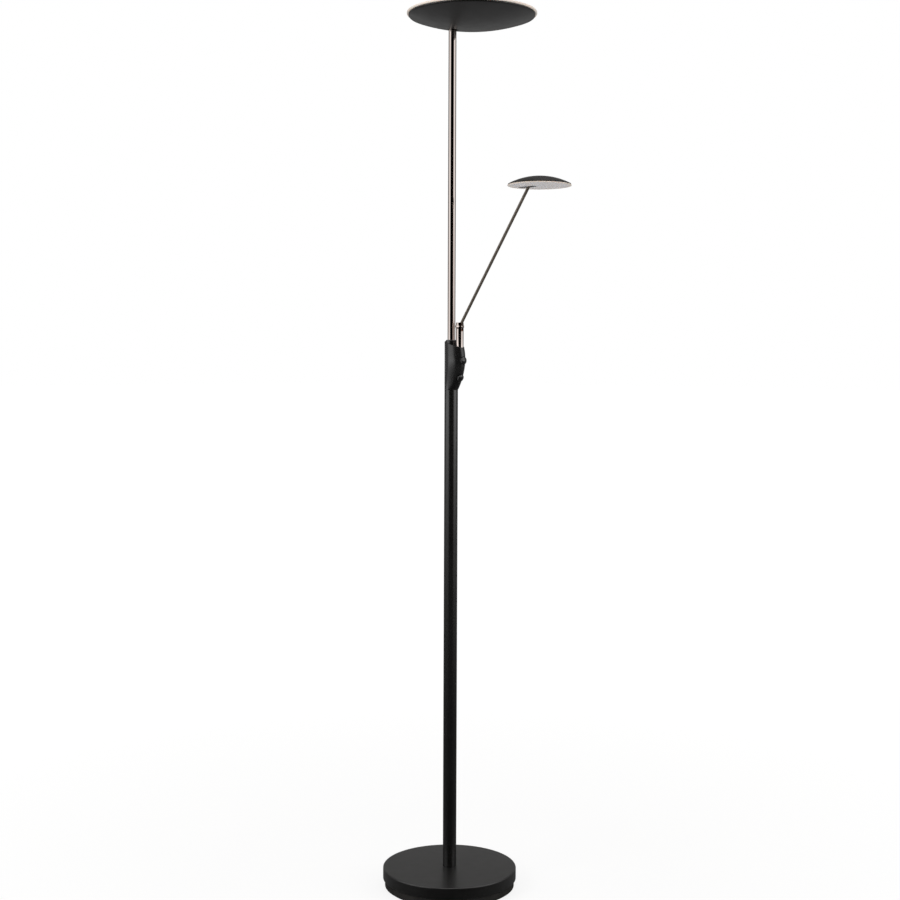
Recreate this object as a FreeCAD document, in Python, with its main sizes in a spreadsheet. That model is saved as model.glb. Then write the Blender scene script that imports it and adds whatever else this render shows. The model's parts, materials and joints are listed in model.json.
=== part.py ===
import FreeCAD, Part
import math
import os
import Sketcher

# Uplighter floor lamp with a reading light: a round weighted base, a black lower pole, a moulded
# control housing with two dimmer knobs, a bright upper pole with a tilting dish, and a thin arm
# with a small reading head. Millimetres, +Z up, origin on the floor under the pole's axis.
# The arm, the knobs and both heads reach towards +X, and the lamp is symmetric about the XZ plane.

doc = FreeCAD.newDocument("reading_uplighter")
sheet = doc.addObject("Spreadsheet::Sheet", "Sizes")

dimensions = {
    # Fits between pieces
    "fixed_gap": 0.05,
    "running_gap": 0.08,
    # Base
    "base_radius": 138.6,
    "base_height": 41.5,
    "cover_wall": 1.5,
    "cover_edge_round": 1.2,
    "plinth_radius": 134.6,
    "plinth_height": 18,
    "plinth_reveal": 1,
    "pad_radius": 131,
    "pad_thickness": 2.5,
    "weight_floor": 12.5,
    "weight_rim_width": 12,
    "weight_hub_radius": 30,
    "rib_count": 8,
    "rib_width": 6,
    "rib_height": 10,
    "nut_well_radius": 22,
    "nut_well_depth": 14,
    "stud_radius": 5,
    "stud_wall": 1.8,
    "stud_hole_gap": 0.3,
    "stud_overhang": 1,
    "stud_engagement": 18,
    "stud_washer_radius": 14,
    "stud_washer_thickness": 2,
    "stud_nut_flats": 17,
    "stud_nut_thickness": 8,
    "grommet_radius": 4.4,
    "grommet_wall": 1.3,
    "grommet_length": 14,
    "grommet_flange_width": 1.6,
    "grommet_flange_thickness": 1.5,
    "cord_way_height": 9,
    # Poles and coupler
    "pole_radius": 14,
    "pole_wall": 1.2,
    "lower_pole_length": 993.5,
    "foot_plug_length": 24,
    "upper_pole_radius": 8,
    "upper_pole_wall": 1.2,
    "upper_pole_length": 757,
    "coupler_spigot_length": 30,
    "coupler_head_height": 13,
    "coupler_pole_depth": 24,
    "coupler_wire_way": 5.5,
    "clamp_screw_radius": 2,
    "clamp_screw_socket": 2,
    "clamp_screw_sunk": 0.5,
    # Control housing, its heights counted up from the top of the lower pole
    "housing_wall": 2,
    "nose_taper": 0.27,
    "waist_height": 41.4,
    "waist_reach": 32.2,
    "shoulder_height": 85.4,
    "shoulder_reach": 31.8,
    "crown_height": 107,
    "crown_reach": 26.7,
    "slant_height": 95.9,
    "slant_angle": 16.2,
    "cap_recess": 0.6,
    "cap_thickness": 10,
    "post_seat_height": 83.4,
    "collar_radius": 12,
    "collar_height": 102.5,
    "collar_chamfer": 2,
    # Dimmers and knobs
    "main_knob_height": 59.7,
    "main_knob_reach": 34.9,
    "main_knob_tilt": 3.5,
    "reading_knob_height": 23.9,
    "reading_knob_reach": 26.6,
    "reading_knob_tilt": 22,
    "knob_radius": 7.6,
    "knob_dome": 1.6,
    "knob_wall": 1.2,
    "knob_floor_gap": 0.4,
    "recess_radius": 9,
    "recess_depth": 3.2,
    "dimmer_seat_radius": 10.5,
    "dimmer_seat_thickness": 2.2,
    "dimmer_width": 9.5,
    "dimmer_tall": 11,
    "dimmer_depth": 6.5,
    "bushing_radius": 3.5,
    "shaft_radius": 1.5,
    "dimmer_nut_flats": 10,
    "dimmer_nut_thickness": 1.6,
    "board_width": 16,
    "board_bottom": 15.5,
    "board_length": 54,
    "board_thickness": 1.6,
    "board_pole_gap": 0.3,
    # Reading post and arm
    "post_offset": 23.2,
    "post_radius": 7.9,
    "post_length": 54,
    "post_chamfer": 0.6,
    "post_slot_width": 6.4,
    "post_slot_depth": 18,
    "post_slot_back": 5.8,
    "spigot_radius": 4,
    "bush_wall": 1.5,
    "bush_flange_width": 1.2,
    "bush_flange_thickness": 1,
    "spring_washer_thickness": 0.8,
    "swivel_nut_flats": 10,
    "swivel_nut_thickness": 4,
    "spigot_overhang": 0.6,
    "arm_pivot_drop": 8,
    "arm_pin_radius": 2,
    "arm_pin_head_radius": 4.8,
    "arm_pin_head_height": 1.6,
    "spotface_depth": 0.7,
    "arm_eye_radius": 5.5,
    "arm_eye_width": 5,
    "arm_radius": 3,
    "arm_wall": 1,
    "arm_length": 333.3,
    "arm_angle": 33.97,
    "arm_neck_radius": 2.4,
    "arm_neck_length": 7,
    "arm_spigot_length": 10,
    # Reading head
    "tip_eye_radius": 4,
    "tip_pin_radius": 1.5,
    "tip_pin_head_width": 0.6,
    "tip_pin_head_height": 0.9,
    "head_offset": 21.8,
    "hinge_above_ring": 3.8,
    "reading_ring_radius": 62.1,
    "reading_ring_width": 5.2,
    "reading_ring_height": 4.7,
    "reading_ring_bevel": 1,
    "dome_radius": 58,
    "dome_rise": 14,
    "dome_wall": 1.2,
    "head_slot_length": 48,
    "head_slot_width": 8,
    "reading_diffuser_thickness": 1.2,
    "reading_diffuser_recess": 0.3,
    "reading_plate_thickness": 1.5,
    "reading_board_radius": 50,
    "reading_board_thickness": 1,
    "reading_led_count": 16,
    "reading_led_circle": 44,
    "reading_screw_circle": 34,
    "reading_screw_count": 3,
    "head_boss_radius": 3,
    "bracket_thickness": 1.5,
    "bracket_foot_width": 6,
    "bracket_foot_length": 18,
    "led_width": 3,
    "led_height": 0.6,
    "screw_radius": 1.25,
    "screw_head_radius": 2.4,
    "screw_head_height": 0.9,
    "screw_length": 5,
    # Main head
    "tongue_thickness": 6,
    "tongue_radius": 5,
    "tilt_pin_above_pole": 7.5,
    "tilt_pin_radius": 2.5,
    "tilt_pin_head_width": 1.5,
    "tilt_pin_head_height": 1.8,
    "tilt_washer_thickness": 1.5,
    "tilt_ear_thickness": 2,
    "tilt_ear_radius": 5.5,
    "tilt_foot_length": 28,
    "tilt_foot_width": 9,
    "tilt_foot_thickness": 1.8,
    "tilt_foot_gap": 0.3,
    "knuckle_spigot_length": 22,
    "knuckle_wire_way": 2,
    "dish_offset": 53,
    "dish_cap_radius": 125,
    "dish_sag": 22,
    "dish_depth": 26,
    "dish_corner": 3,
    "dish_wall": 1.5,
    "rim_above_pin": 10.5,
    "dish_slot_front": 13.6,
    "dish_slot_back": 10.9,
    "dish_slot_gap": 0.8,
    "main_ring_overhang": 3.4,
    "main_ring_width": 11.4,
    "main_ring_height": 4,
    "main_ring_bevel": 1,
    "main_ring_ledge": 2.1,
    "main_diffuser_thickness": 2,
    "main_plate_radius": 116,
    "main_plate_thickness": 1.8,
    "main_board_inner": 40,
    "main_board_outer": 108,
    "main_board_thickness": 1.2,
    "outer_led_count": 28,
    "outer_led_circle": 97,
    "inner_led_count": 14,
    "inner_led_circle": 60,
    "plate_post_circle": 80,
    "plate_post_count": 4,
    "plate_post_radius": 4,
    "driver_length": 60,
    "driver_width": 36,
    "driver_height": 11,
    "driver_round": 2,
}


class Size:
    """A number together with the sheet expression that gives it."""

    def __init__(self, value, text):
        self.value = float(value)
        self.text = text

    def __add__(self, other):
        other = as_size(other)
        return Size(self.value + other.value, "(" + self.text + " + " + other.text + ")")

    def __sub__(self, other):
        other = as_size(other)
        return Size(self.value - other.value, "(" + self.text + " - " + other.text + ")")

    def __mul__(self, other):
        other = as_size(other)
        return Size(self.value * other.value, "(" + self.text + " * " + other.text + ")")

    def __truediv__(self, other):
        other = as_size(other)
        return Size(self.value / other.value, "(" + self.text + " / " + other.text + ")")

    def __neg__(self):
        return Size(-self.value, "(0 - " + self.text + ")")


def as_size(number):
    if isinstance(number, Size):
        return number
    return Size(number, repr(float(number)))


class Lamp:
    """The lamp's driving dimensions, each tied to its own cell of the sheet."""

    def __init__(self, given):
        for row, (alias, number) in enumerate(given.items(), 1):
            cell = "B" + str(row)
            sheet.set("A" + str(row), alias.replace("_", " "))
            sheet.set(cell, str(number))
            sheet.setAlias(cell, alias)
            setattr(self, alias, Size(number, "Sizes." + alias))


lamp = Lamp(dimensions)


def sine(angle):
    return Size(math.sin(math.radians(angle.value)), "sin(" + angle.text + ")")


def cosine(angle):
    return Size(math.cos(math.radians(angle.value)), "cos(" + angle.text + ")")


def tangent(angle):
    return Size(math.tan(math.radians(angle.value)), "tan(" + angle.text + ")")


def root(square):
    return Size(math.sqrt(square.value), "sqrt(" + square.text + ")")


def arc_radius(half_chord, rise):
    """Radius of the arc with this half chord and this rise."""
    return (half_chord * half_chord + rise * rise) / (rise * 2)


# Places worked out from the sizes

pole_top = lamp.base_height + lamp.lower_pole_length
pole_inner = lamp.pole_radius - lamp.pole_wall
upper_pole_inner = lamp.upper_pole_radius - lamp.upper_pole_wall
upper_pole_bottom = pole_top - lamp.coupler_pole_depth
tilt_pin_height = upper_pole_bottom + lamp.upper_pole_length + lamp.tilt_pin_above_pole
rim_height = tilt_pin_height + lamp.rim_above_pin
post_seat = pole_top + lamp.post_seat_height
cap_bottom = post_seat - lamp.cap_thickness
slant_level = pole_top + lamp.slant_height
arm_pivot_height = post_seat + lamp.post_length - lamp.arm_pivot_drop
tip_across = lamp.post_offset + lamp.arm_length * sine(lamp.arm_angle)
tip_height = arm_pivot_height + lamp.arm_length * cosine(lamp.arm_angle)
head_centre = tip_across + lamp.head_offset
ring_top = tip_height - lamp.hinge_above_ring
ring_bottom = ring_top - lamp.reading_ring_height
post_bore = lamp.post_radius + lamp.running_gap

upright = FreeCAD.Rotation()
nodes = {}


# Helpers


def bind(thing, prop, size):
    """Set a property to a size and tie it to the sheet."""
    size = as_size(size)
    thing.setExpression(prop, size.text)


def place(thing, x=0, y=0, z=0, turn=None):
    """Put a piece at x, y, z, turned about the Y or another axis by an angle in degrees."""
    spot = FreeCAD.Vector(as_size(x).value, as_size(y).value, as_size(z).value)
    rotation = upright
    if turn is not None:
        axis, angle = turn
        rotation = FreeCAD.Rotation(FreeCAD.Vector(*axis), as_size(angle).value)
    thing.Placement = FreeCAD.Placement(spot, rotation)
    for name, size in (("x", x), ("y", y), ("z", z)):
        bind(thing, ".Placement.Base." + name, size)
    return thing


def node(name, thing):
    """Name a finished piece, which becomes one file."""
    thing.Label = name
    nodes[name] = thing
    return thing


def cylinder(name, radius, length, x=0, y=0, z=0, turn=None):
    rod = doc.addObject("Part::Cylinder", name)
    bind(rod, "Radius", radius)
    bind(rod, "Height", length)
    return place(rod, x, y, z, turn)


def box(name, length, width, height, x=0, y=0, z=0, turn=None):
    block = doc.addObject("Part::Box", name)
    bind(block, "Length", length)
    bind(block, "Width", width)
    bind(block, "Height", height)
    return place(block, x, y, z, turn)


def hexagon(name, flats, length, x=0, y=0, z=0, turn=None):
    """A six-sided prism of this width across its flats."""
    prism = doc.addObject("Part::Prism", name)
    prism.Polygon = 6
    bind(prism, "Circumradius", flats / math.sqrt(3))
    bind(prism, "Height", length)
    return place(prism, x, y, z, turn)


def fuse(name, pieces):
    joined = doc.addObject("Part::MultiFuse", name)
    joined.Shapes = pieces
    return joined


def cut(name, base, tools):
    left = doc.addObject("Part::Cut", name)
    left.Base = base
    left.Tool = tools[0] if len(tools) == 1 else fuse(name + "_tools", tools)
    return left


def common(name, first, second):
    shared = doc.addObject("Part::Common", name)
    shared.Base = first
    shared.Tool = second
    return shared


def group(name, pieces):
    """Identical pieces kept as separate solids under one name."""
    several = doc.addObject("Part::Compound", name)
    several.Links = pieces
    return several


def tie_point(sketch, element, end, across, up):
    """Fix one end of a drawn element by its distances from the sketch's origin."""
    for kind, size in (("DistanceX", across), ("DistanceY", up)):
        size = as_size(size)
        number = sketch.addConstraint(Sketcher.Constraint(kind, -1, 1, element, end, size.value))
        sketch.setExpression("Constraints[" + str(number) + "]", size.text)


def draw(sketch, corners):
    """Draw a closed outline through corners.

    A corner is (across, up), or (across, up, radius) where an arc of that radius leads to the
    next corner: positive turns to the left of the way drawn, negative to the right.
    """
    ends = []
    for index, corner in enumerate(corners):
        following = corners[(index + 1) % len(corners)]
        start = FreeCAD.Vector(as_size(corner[0]).value, as_size(corner[1]).value, 0)
        finish = FreeCAD.Vector(as_size(following[0]).value, as_size(following[1]).value, 0)
        if len(corner) == 2:
            element = sketch.addGeometry(Part.LineSegment(start, finish))
            ends.append((element, 1, 2))
            continue
        radius = as_size(corner[2])
        element, first, last = draw_arc(sketch, start, finish, radius)
        ends.append((element, first, last))
    for index, (element, first, last) in enumerate(ends):
        after, after_first, after_last = ends[(index + 1) % len(ends)]
        sketch.addConstraint(Sketcher.Constraint("Coincident", element, last, after, after_first))
    for (element, first, last), corner in zip(ends, corners):
        tie_point(sketch, element, first, corner[0], corner[1])


def draw_arc(sketch, start, finish, radius):
    """Draw the shorter arc from start to finish and return it with its two ends."""
    size = abs(radius.value)
    leftward = radius.value > 0
    chord = finish - start
    middle = (start + finish) * 0.5
    height = math.sqrt(max(size * size - chord.Length * chord.Length / 4, 0))
    left = FreeCAD.Vector(-chord.y, chord.x, 0).normalize()
    centre = middle + left * (height if leftward else -height)
    circle = Part.Circle(centre, FreeCAD.Vector(0, 0, 1), size)
    begin, end = (start, finish) if leftward else (finish, start)
    angles = [math.atan2(spot.y - centre.y, spot.x - centre.x) for spot in (begin, end)]
    if angles[1] < angles[0]:
        angles[1] += 2 * math.pi
    element = sketch.addGeometry(Part.ArcOfCircle(circle, angles[0], angles[1]))
    number = sketch.addConstraint(Sketcher.Constraint("Radius", element, size))
    text = radius.text if leftward else (-radius).text
    sketch.setExpression("Constraints[" + str(number) + "]", text)
    return (element, 1, 2) if leftward else (element, 2, 1)


def flat_sketch(body, name, role, corners, lift=0):
    """A sketch of one outline on a body's own origin plane, lifted off it if asked."""
    plane = [feature for feature in body.Origin.OriginFeatures if feature.Role == role][0]
    sketch = body.newObject("Sketcher::SketchObject", name)
    sketch.AttachmentSupport = [(plane, "")]
    sketch.MapMode = "FlatFace"
    lift = as_size(lift)
    sketch.AttachmentOffset = FreeCAD.Placement(FreeCAD.Vector(0, 0, lift.value), upright)
    bind(sketch, ".AttachmentOffset.Base.z", lift)
    draw(sketch, corners)
    return sketch


def turned(name, corners):
    """A body turned about Z from a closed outline of (radius, height) corners."""
    body = doc.addObject("PartDesign::Body", name)
    sketch = flat_sketch(body, name + "_outline", "XZ_Plane", corners)
    turning = body.newObject("PartDesign::Revolution", name + "_turning")
    turning.Profile = sketch
    turning.ReferenceAxis = (sketch, ["V_Axis"])
    turning.Angle = 360
    body.Tip = turning
    return body


def ring(name, outer, inner, height):
    """A turned washer, tube or ring standing on z = 0."""
    return turned(name, [(inner, 0), (outer, 0), (outer, height), (inner, height)])


def disc(name, radius, height):
    return turned(name, [(0, 0), (radius, 0), (radius, height), (0, height)])


def slot_block(name, back, front, width, height):
    """A solid slot along X with round ends, from -back to front, standing on z = 0."""
    body = doc.addObject("PartDesign::Body", name)
    half = width / 2
    corners = [(half - back, -half), (front - half, -half, half), (front, 0, half),
               (front - half, half), (half - back, half, half), (-back, 0, half)]
    sketch = flat_sketch(body, name + "_outline", "XY_Plane", corners)
    padding = body.newObject("PartDesign::Pad", name + "_pad")
    padding.Profile = sketch
    bind(padding, "Length", height)
    body.Tip = padding
    return body


def around(circle, count, index, start=0):
    """The x and y of one of several places evenly spaced on a circle."""
    angle = Size(start + 360 * index / count, repr(start + 360 * index / count))
    return circle * cosine(angle), circle * sine(angle)


def cap_screw(name, x, y, z, length, head_down=True):
    """A small screw: a round head under or over a plain shank, at its head's seat."""
    top = lamp.screw_head_height
    screw = turned(name, [(0, -top), (lamp.screw_head_radius, -top), (lamp.screw_head_radius, 0),
                          (lamp.screw_radius, 0), (lamp.screw_radius, length), (0, length)])
    return place(screw, x, y, z, None if head_down else ((1, 0, 0), 180))


def led(name, x, y, z, height):
    """One light chip, centred on x, y and standing on z or hanging under it."""
    half = lamp.led_width / 2
    return box(name, lamp.led_width, lamp.led_width, height, x - half, y - half, z)


sideways = ((1, 0, 0), -90)
across_minus_y = ((1, 0, 0), 90)

# Base: a foam pad, a ribbed casting, a pressed cover and the stud that draws the pole down

weight_top = lamp.base_height - lamp.cover_wall
cover_inner = lamp.base_radius - lamp.cover_wall
well_ceiling = lamp.pad_thickness + lamp.nut_well_depth
stud_hole = lamp.stud_radius + lamp.stud_hole_gap


def make_pad():
    node("base_pad", disc("base_pad", lamp.pad_radius, lamp.pad_thickness))


def make_weight():
    shoulder = lamp.plinth_height + lamp.plinth_reveal
    rim_outer = cover_inner - lamp.fixed_gap
    rim_inner = rim_outer - lamp.weight_rim_width
    floor_top = lamp.pad_thickness + lamp.weight_floor
    body = turned("casting", [
        (lamp.nut_well_radius, lamp.pad_thickness), (lamp.plinth_radius, lamp.pad_thickness),
        (lamp.plinth_radius, shoulder),
        (rim_outer, shoulder), (rim_outer, weight_top), (rim_inner, weight_top),
        (rim_inner, floor_top), (lamp.weight_hub_radius, floor_top), (lamp.weight_hub_radius, weight_top),
        (stud_hole, weight_top), (stud_hole, well_ceiling), (lamp.nut_well_radius, well_ceiling)])
    half = lamp.rib_width / 2
    buried = lamp.rib_width / 2
    first_rib = flat_sketch(body, "rib_outline", "XY_Plane", [
        (lamp.weight_hub_radius - buried, -half), (rim_inner + buried, -half),
        (rim_inner + buried, half), (lamp.weight_hub_radius - buried, half)], floor_top)
    rib = body.newObject("PartDesign::Pad", "rib")
    rib.Profile = first_rib
    bind(rib, "Length", lamp.rib_height)
    ribs = body.newObject("PartDesign::PolarPattern", "ribs")
    ribs.Originals = [rib]
    ribs.Axis = (first_rib, ["N_Axis"])
    ribs.Angle = 360
    bind(ribs, "Occurrences", lamp.rib_count)
    body.Tip = ribs
    cord_way = cylinder("cord_way", lamp.grommet_radius + lamp.fixed_gap,
                        lamp.plinth_radius - lamp.nut_well_radius / 2,
                        -lamp.plinth_radius, 0, lamp.cord_way_height, ((0, 1, 0), 90))
    node("base_weight", cut("base_weight", body, [cord_way]))


def make_cover():
    curve = lamp.cover_edge_round
    node("base_cover", turned("base_cover", [
        (stud_hole, lamp.base_height), (stud_hole, weight_top), (cover_inner, weight_top),
        (cover_inner, lamp.plinth_height), (lamp.base_radius, lamp.plinth_height),
        (lamp.base_radius, lamp.base_height - curve, curve), (lamp.base_radius - curve, lamp.base_height)]))


def make_grommet():
    bore = lamp.grommet_radius - lamp.grommet_wall
    flange = lamp.grommet_radius + lamp.grommet_flange_width
    end = lamp.grommet_length + lamp.grommet_flange_thickness
    grommet = turned("cord_grommet", [
        (bore, 0), (lamp.grommet_radius, 0), (lamp.grommet_radius, lamp.grommet_length),
        (flange, lamp.grommet_length),
        (flange, end), (bore, end)])
    place(grommet, lamp.grommet_length - lamp.plinth_radius, 0, lamp.cord_way_height, ((0, 1, 0), -90))
    node("cord_grommet", grommet)


def make_stud():
    washer_bottom = well_ceiling - lamp.stud_washer_thickness
    nut_bottom = washer_bottom - lamp.stud_nut_thickness
    stud_bottom = nut_bottom - lamp.stud_overhang
    bore = lamp.stud_radius + lamp.fixed_gap
    stud = ring("pole_stud", lamp.stud_radius, lamp.stud_radius - lamp.stud_wall,
                lamp.base_height + lamp.stud_engagement - stud_bottom)
    node("pole_stud", place(stud, 0, 0, stud_bottom))
    washer = ring("stud_washer", lamp.stud_washer_radius, bore, lamp.stud_washer_thickness)
    node("stud_washer", place(washer, 0, 0, washer_bottom))
    blank = hexagon("stud_nut_blank", lamp.stud_nut_flats, lamp.stud_nut_thickness, 0, 0, nut_bottom)
    tap = cylinder("stud_nut_tap", bore, lamp.stud_nut_thickness, 0, 0, nut_bottom)
    node("stud_nut", cut("stud_nut", blank, [tap]))


# Poles: the black lower tube, its foot plug, the coupler and the bright upper tube


def make_poles():
    lower = ring("lower_pole", lamp.pole_radius, pole_inner, lamp.lower_pole_length)
    node("lower_pole", place(lower, 0, 0, lamp.base_height))
    plug = ring("foot_plug", pole_inner - lamp.fixed_gap, lamp.stud_radius + lamp.fixed_gap,
                lamp.foot_plug_length)
    node("foot_plug", place(plug, 0, 0, lamp.base_height))
    upper = ring("upper_pole", lamp.upper_pole_radius, upper_pole_inner, lamp.upper_pole_length)
    node("upper_pole", place(upper, 0, 0, upper_pole_bottom))


def make_coupler():
    spigot = pole_inner - lamp.fixed_gap
    head = lamp.pole_radius - lamp.housing_wall - lamp.fixed_gap
    bore = lamp.upper_pole_radius + lamp.fixed_gap
    blank = turned("coupler_blank", [
        (lamp.coupler_wire_way, -lamp.coupler_spigot_length), (spigot, -lamp.coupler_spigot_length),
        (spigot, 0),
        (head, 0), (head, lamp.coupler_head_height), (bore, lamp.coupler_head_height),
        (bore, -lamp.coupler_pole_depth), (lamp.coupler_wire_way, -lamp.coupler_pole_depth)])
    place(blank, 0, 0, pole_top)
    level = pole_top + lamp.coupler_head_height / 2
    screw_hole = cylinder("clamp_screw_hole", lamp.clamp_screw_radius + lamp.fixed_gap, head * 2, 0, -head,
                          level, sideways)
    node("pole_coupler", cut("pole_coupler", blank, [screw_hole]))
    screws = []
    for number, turn in ((1, sideways), (2, across_minus_y)):
        side = 1 if turn is sideways else -1
        length = head - bore - lamp.clamp_screw_sunk
        shank = cylinder("clamp_screw_" + str(number), lamp.clamp_screw_radius, length, 0, bore * side,
                         level, turn)
        socket = hexagon("clamp_socket_" + str(number), lamp.clamp_screw_socket, length / 2, 0,
                         (bore + length / 2) * side, level, turn)
        screws.append(cut("clamp_screw_cut_" + str(number), shank, [socket]))
    node("clamp_screws", group("clamp_screws", screws))


# Control housing: a teardrop in plan that grows out of the pole, bows forward past the knobs
# and ends in a slanted top


def teardrop_corners(reach, inset):
    """A round back on the pole's axis and a smaller round nose, joined by tangent lines.

    The nose is as far out as reach says. It is as large as the back where it starts at the pole,
    and shrinks by the taper as it moves out.
    """
    nose = lamp.pole_radius - (reach - lamp.pole_radius) * lamp.nose_taper
    centre = reach - nose
    slope = (lamp.pole_radius - nose) / centre
    spread = root(as_size(1) - slope * slope)
    back = lamp.pole_radius - inset
    front = nose - inset
    return [(back * slope, back * spread, back), (-back, 0, back),
            (back * slope, -(back * spread)), (centre + front * slope, -(front * spread), front),
            (centre + front, 0, front), (centre + front * slope, front * spread)]


def teardrop_loft(name, inset):
    """The housing's outer form, drawn in by inset, from the pole's top to above the slant."""
    body = doc.addObject("PartDesign::Body", name)
    foot_reach = lamp.pole_radius + lamp.fixed_gap
    stations = [(as_size(0), foot_reach), (lamp.reading_knob_height, lamp.reading_knob_reach),
                (lamp.waist_height, lamp.waist_reach), (lamp.main_knob_height, lamp.main_knob_reach),
                (lamp.shoulder_height, lamp.shoulder_reach), (lamp.crown_height, lamp.crown_reach)]
    sketches = []
    for number, (height, reach) in enumerate(stations):
        sketches.append(flat_sketch(body, name + "_section_" + str(number), "XY_Plane",
                                    teardrop_corners(reach, as_size(inset)), height))
    loft = body.newObject("PartDesign::AdditiveLoft", name + "_loft")
    loft.Profile = sketches[0]
    loft.Sections = sketches[1:]
    body.Tip = loft
    return place(body, 0, 0, pole_top)


def slanted_block(name, drop, above):
    """A large block whose face lies on the slanted top, drop below it, above or under that face."""
    reach = lamp.crown_height + lamp.pole_radius
    base = slant_level - drop
    turn = ((0, 1, 0), lamp.slant_angle)
    lift = as_size(0) if above else reach
    return box(name, reach * 2, reach, reach,
               -(reach * cosine(lamp.slant_angle)) - lift * sine(lamp.slant_angle),
               -(reach / 2), base + reach * sine(lamp.slant_angle) - lift * cosine(lamp.slant_angle), turn)


def at_knob(knob, outward):
    """The place and turn of something on a knob's axis, this far outside the housing's front."""
    height, reach, tilt = knob
    x = reach + outward * cosine(tilt)
    z = pole_top + height - outward * sine(tilt)
    return x, as_size(0), z, ((0, 1, 0), tilt + 90)


main_knob = (lamp.main_knob_height, lamp.main_knob_reach, lamp.main_knob_tilt)
reading_knob = (lamp.reading_knob_height, lamp.reading_knob_reach, lamp.reading_knob_tilt)
knobs = (("main", main_knob), ("reading", reading_knob))
recess_floor = -lamp.recess_depth
dimmer_front = recess_floor - lamp.dimmer_seat_thickness


def make_housing():
    form = teardrop_loft("housing_form", 0)
    core = teardrop_loft("housing_core", lamp.housing_wall)
    shell = cut("housing_shell", form, [core, slanted_block("above_housing", as_size(0), True)])
    seats = []
    openings = []
    for name, knob in knobs:
        seat = cylinder(name + "_dimmer_seat", lamp.dimmer_seat_radius, lamp.dimmer_seat_thickness,
                        *at_knob(knob, dimmer_front))
        seats.append(common(name + "_dimmer_seat_in_form", form, seat))
        openings.append(cylinder(name + "_recess", lamp.recess_radius, lamp.recess_depth * 3,
                                 *at_knob(knob, recess_floor)))
        openings.append(cylinder(name + "_bushing_hole", lamp.bushing_radius + lamp.fixed_gap,
                                 lamp.dimmer_seat_thickness * 3,
                                 *at_knob(knob, dimmer_front - lamp.dimmer_seat_thickness)))
    openings.append(cylinder("post_hole_in_housing", post_bore, lamp.crown_height, lamp.post_offset, 0,
                             post_seat))
    whole = fuse("housing_whole", [shell] + seats)
    node("control_housing", cut("control_housing", whole, openings))


def make_cap():
    core = teardrop_loft("cap_core", lamp.housing_wall + lamp.fixed_gap)
    slab = box("cap_slab", lamp.crown_height, lamp.crown_height, lamp.crown_height,
               -(lamp.crown_height / 2),
               -(lamp.crown_height / 2), cap_bottom)
    blank = common("cap_blank", core, slab)
    bush_outer = lamp.spigot_radius + lamp.running_gap + lamp.bush_wall
    tools = [
        slanted_block("above_cap", lamp.cap_recess, True),
        cylinder("pole_hole_in_cap", lamp.upper_pole_radius + lamp.fixed_gap, lamp.crown_height, 0, 0,
                 cap_bottom),
        cylinder("post_hole_in_cap", post_bore, lamp.crown_height, lamp.post_offset, 0, post_seat),
        cylinder("bush_hole_in_cap", bush_outer + lamp.fixed_gap, lamp.crown_height, lamp.post_offset, 0,
                 cap_bottom)]
    node("housing_cap", cut("housing_cap", blank, tools))


def make_collar():
    level = slant_level - lamp.cap_recess - lamp.collar_radius * tangent(lamp.slant_angle)
    top = pole_top + lamp.collar_height
    bore = lamp.upper_pole_radius + lamp.fixed_gap
    blank = turned("collar_blank", [
        (bore, level), (lamp.collar_radius, level), (lamp.collar_radius, top - lamp.collar_chamfer),
        (lamp.collar_radius - lamp.collar_chamfer, top), (bore, top)])
    under = slanted_block("under_collar", lamp.cap_recess, False)
    node("pole_collar", cut("pole_collar", blank, [under]))


# Dimmers behind the housing's front, their nuts, shafts and knobs, and the board behind them


def make_dimmers():
    nuts = []
    for name, knob in knobs:
        half = lamp.dimmer_width / 2
        case = box(name + "_dimmer_case", lamp.dimmer_tall, lamp.dimmer_width, lamp.dimmer_depth)
        x, y, z, turn = at_knob(knob, dimmer_front - lamp.dimmer_depth)
        lift = lamp.dimmer_tall / 2
        tilt = knob[2]
        place(case, x + lift * sine(tilt), -half, z + lift * cosine(tilt), turn)
        bushing_length = lamp.dimmer_seat_thickness + lamp.dimmer_nut_thickness
        bushing = cylinder(name + "_bushing", lamp.bushing_radius, bushing_length,
                           *at_knob(knob, dimmer_front))
        bore = cylinder(name + "_bushing_bore", lamp.shaft_radius + lamp.running_gap,
                        bushing_length + lamp.dimmer_depth / 2,
                        *at_knob(knob, dimmer_front - lamp.dimmer_depth / 2))
        whole = fuse(name + "_dimmer_whole", [case, bushing])
        node(name + "_dimmer", cut(name + "_dimmer", whole, [bore]))
        blank = hexagon(name + "_dimmer_nut_blank", lamp.dimmer_nut_flats, lamp.dimmer_nut_thickness,
                        *at_knob(knob, recess_floor))
        tap = cylinder(name + "_dimmer_nut_tap", lamp.bushing_radius + lamp.fixed_gap,
                       lamp.dimmer_nut_thickness,
                       *at_knob(knob, recess_floor))
        nuts.append(cut(name + "_dimmer_nut", blank, [tap]))
    node("dimmer_nuts", group("dimmer_nuts", nuts))


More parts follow.
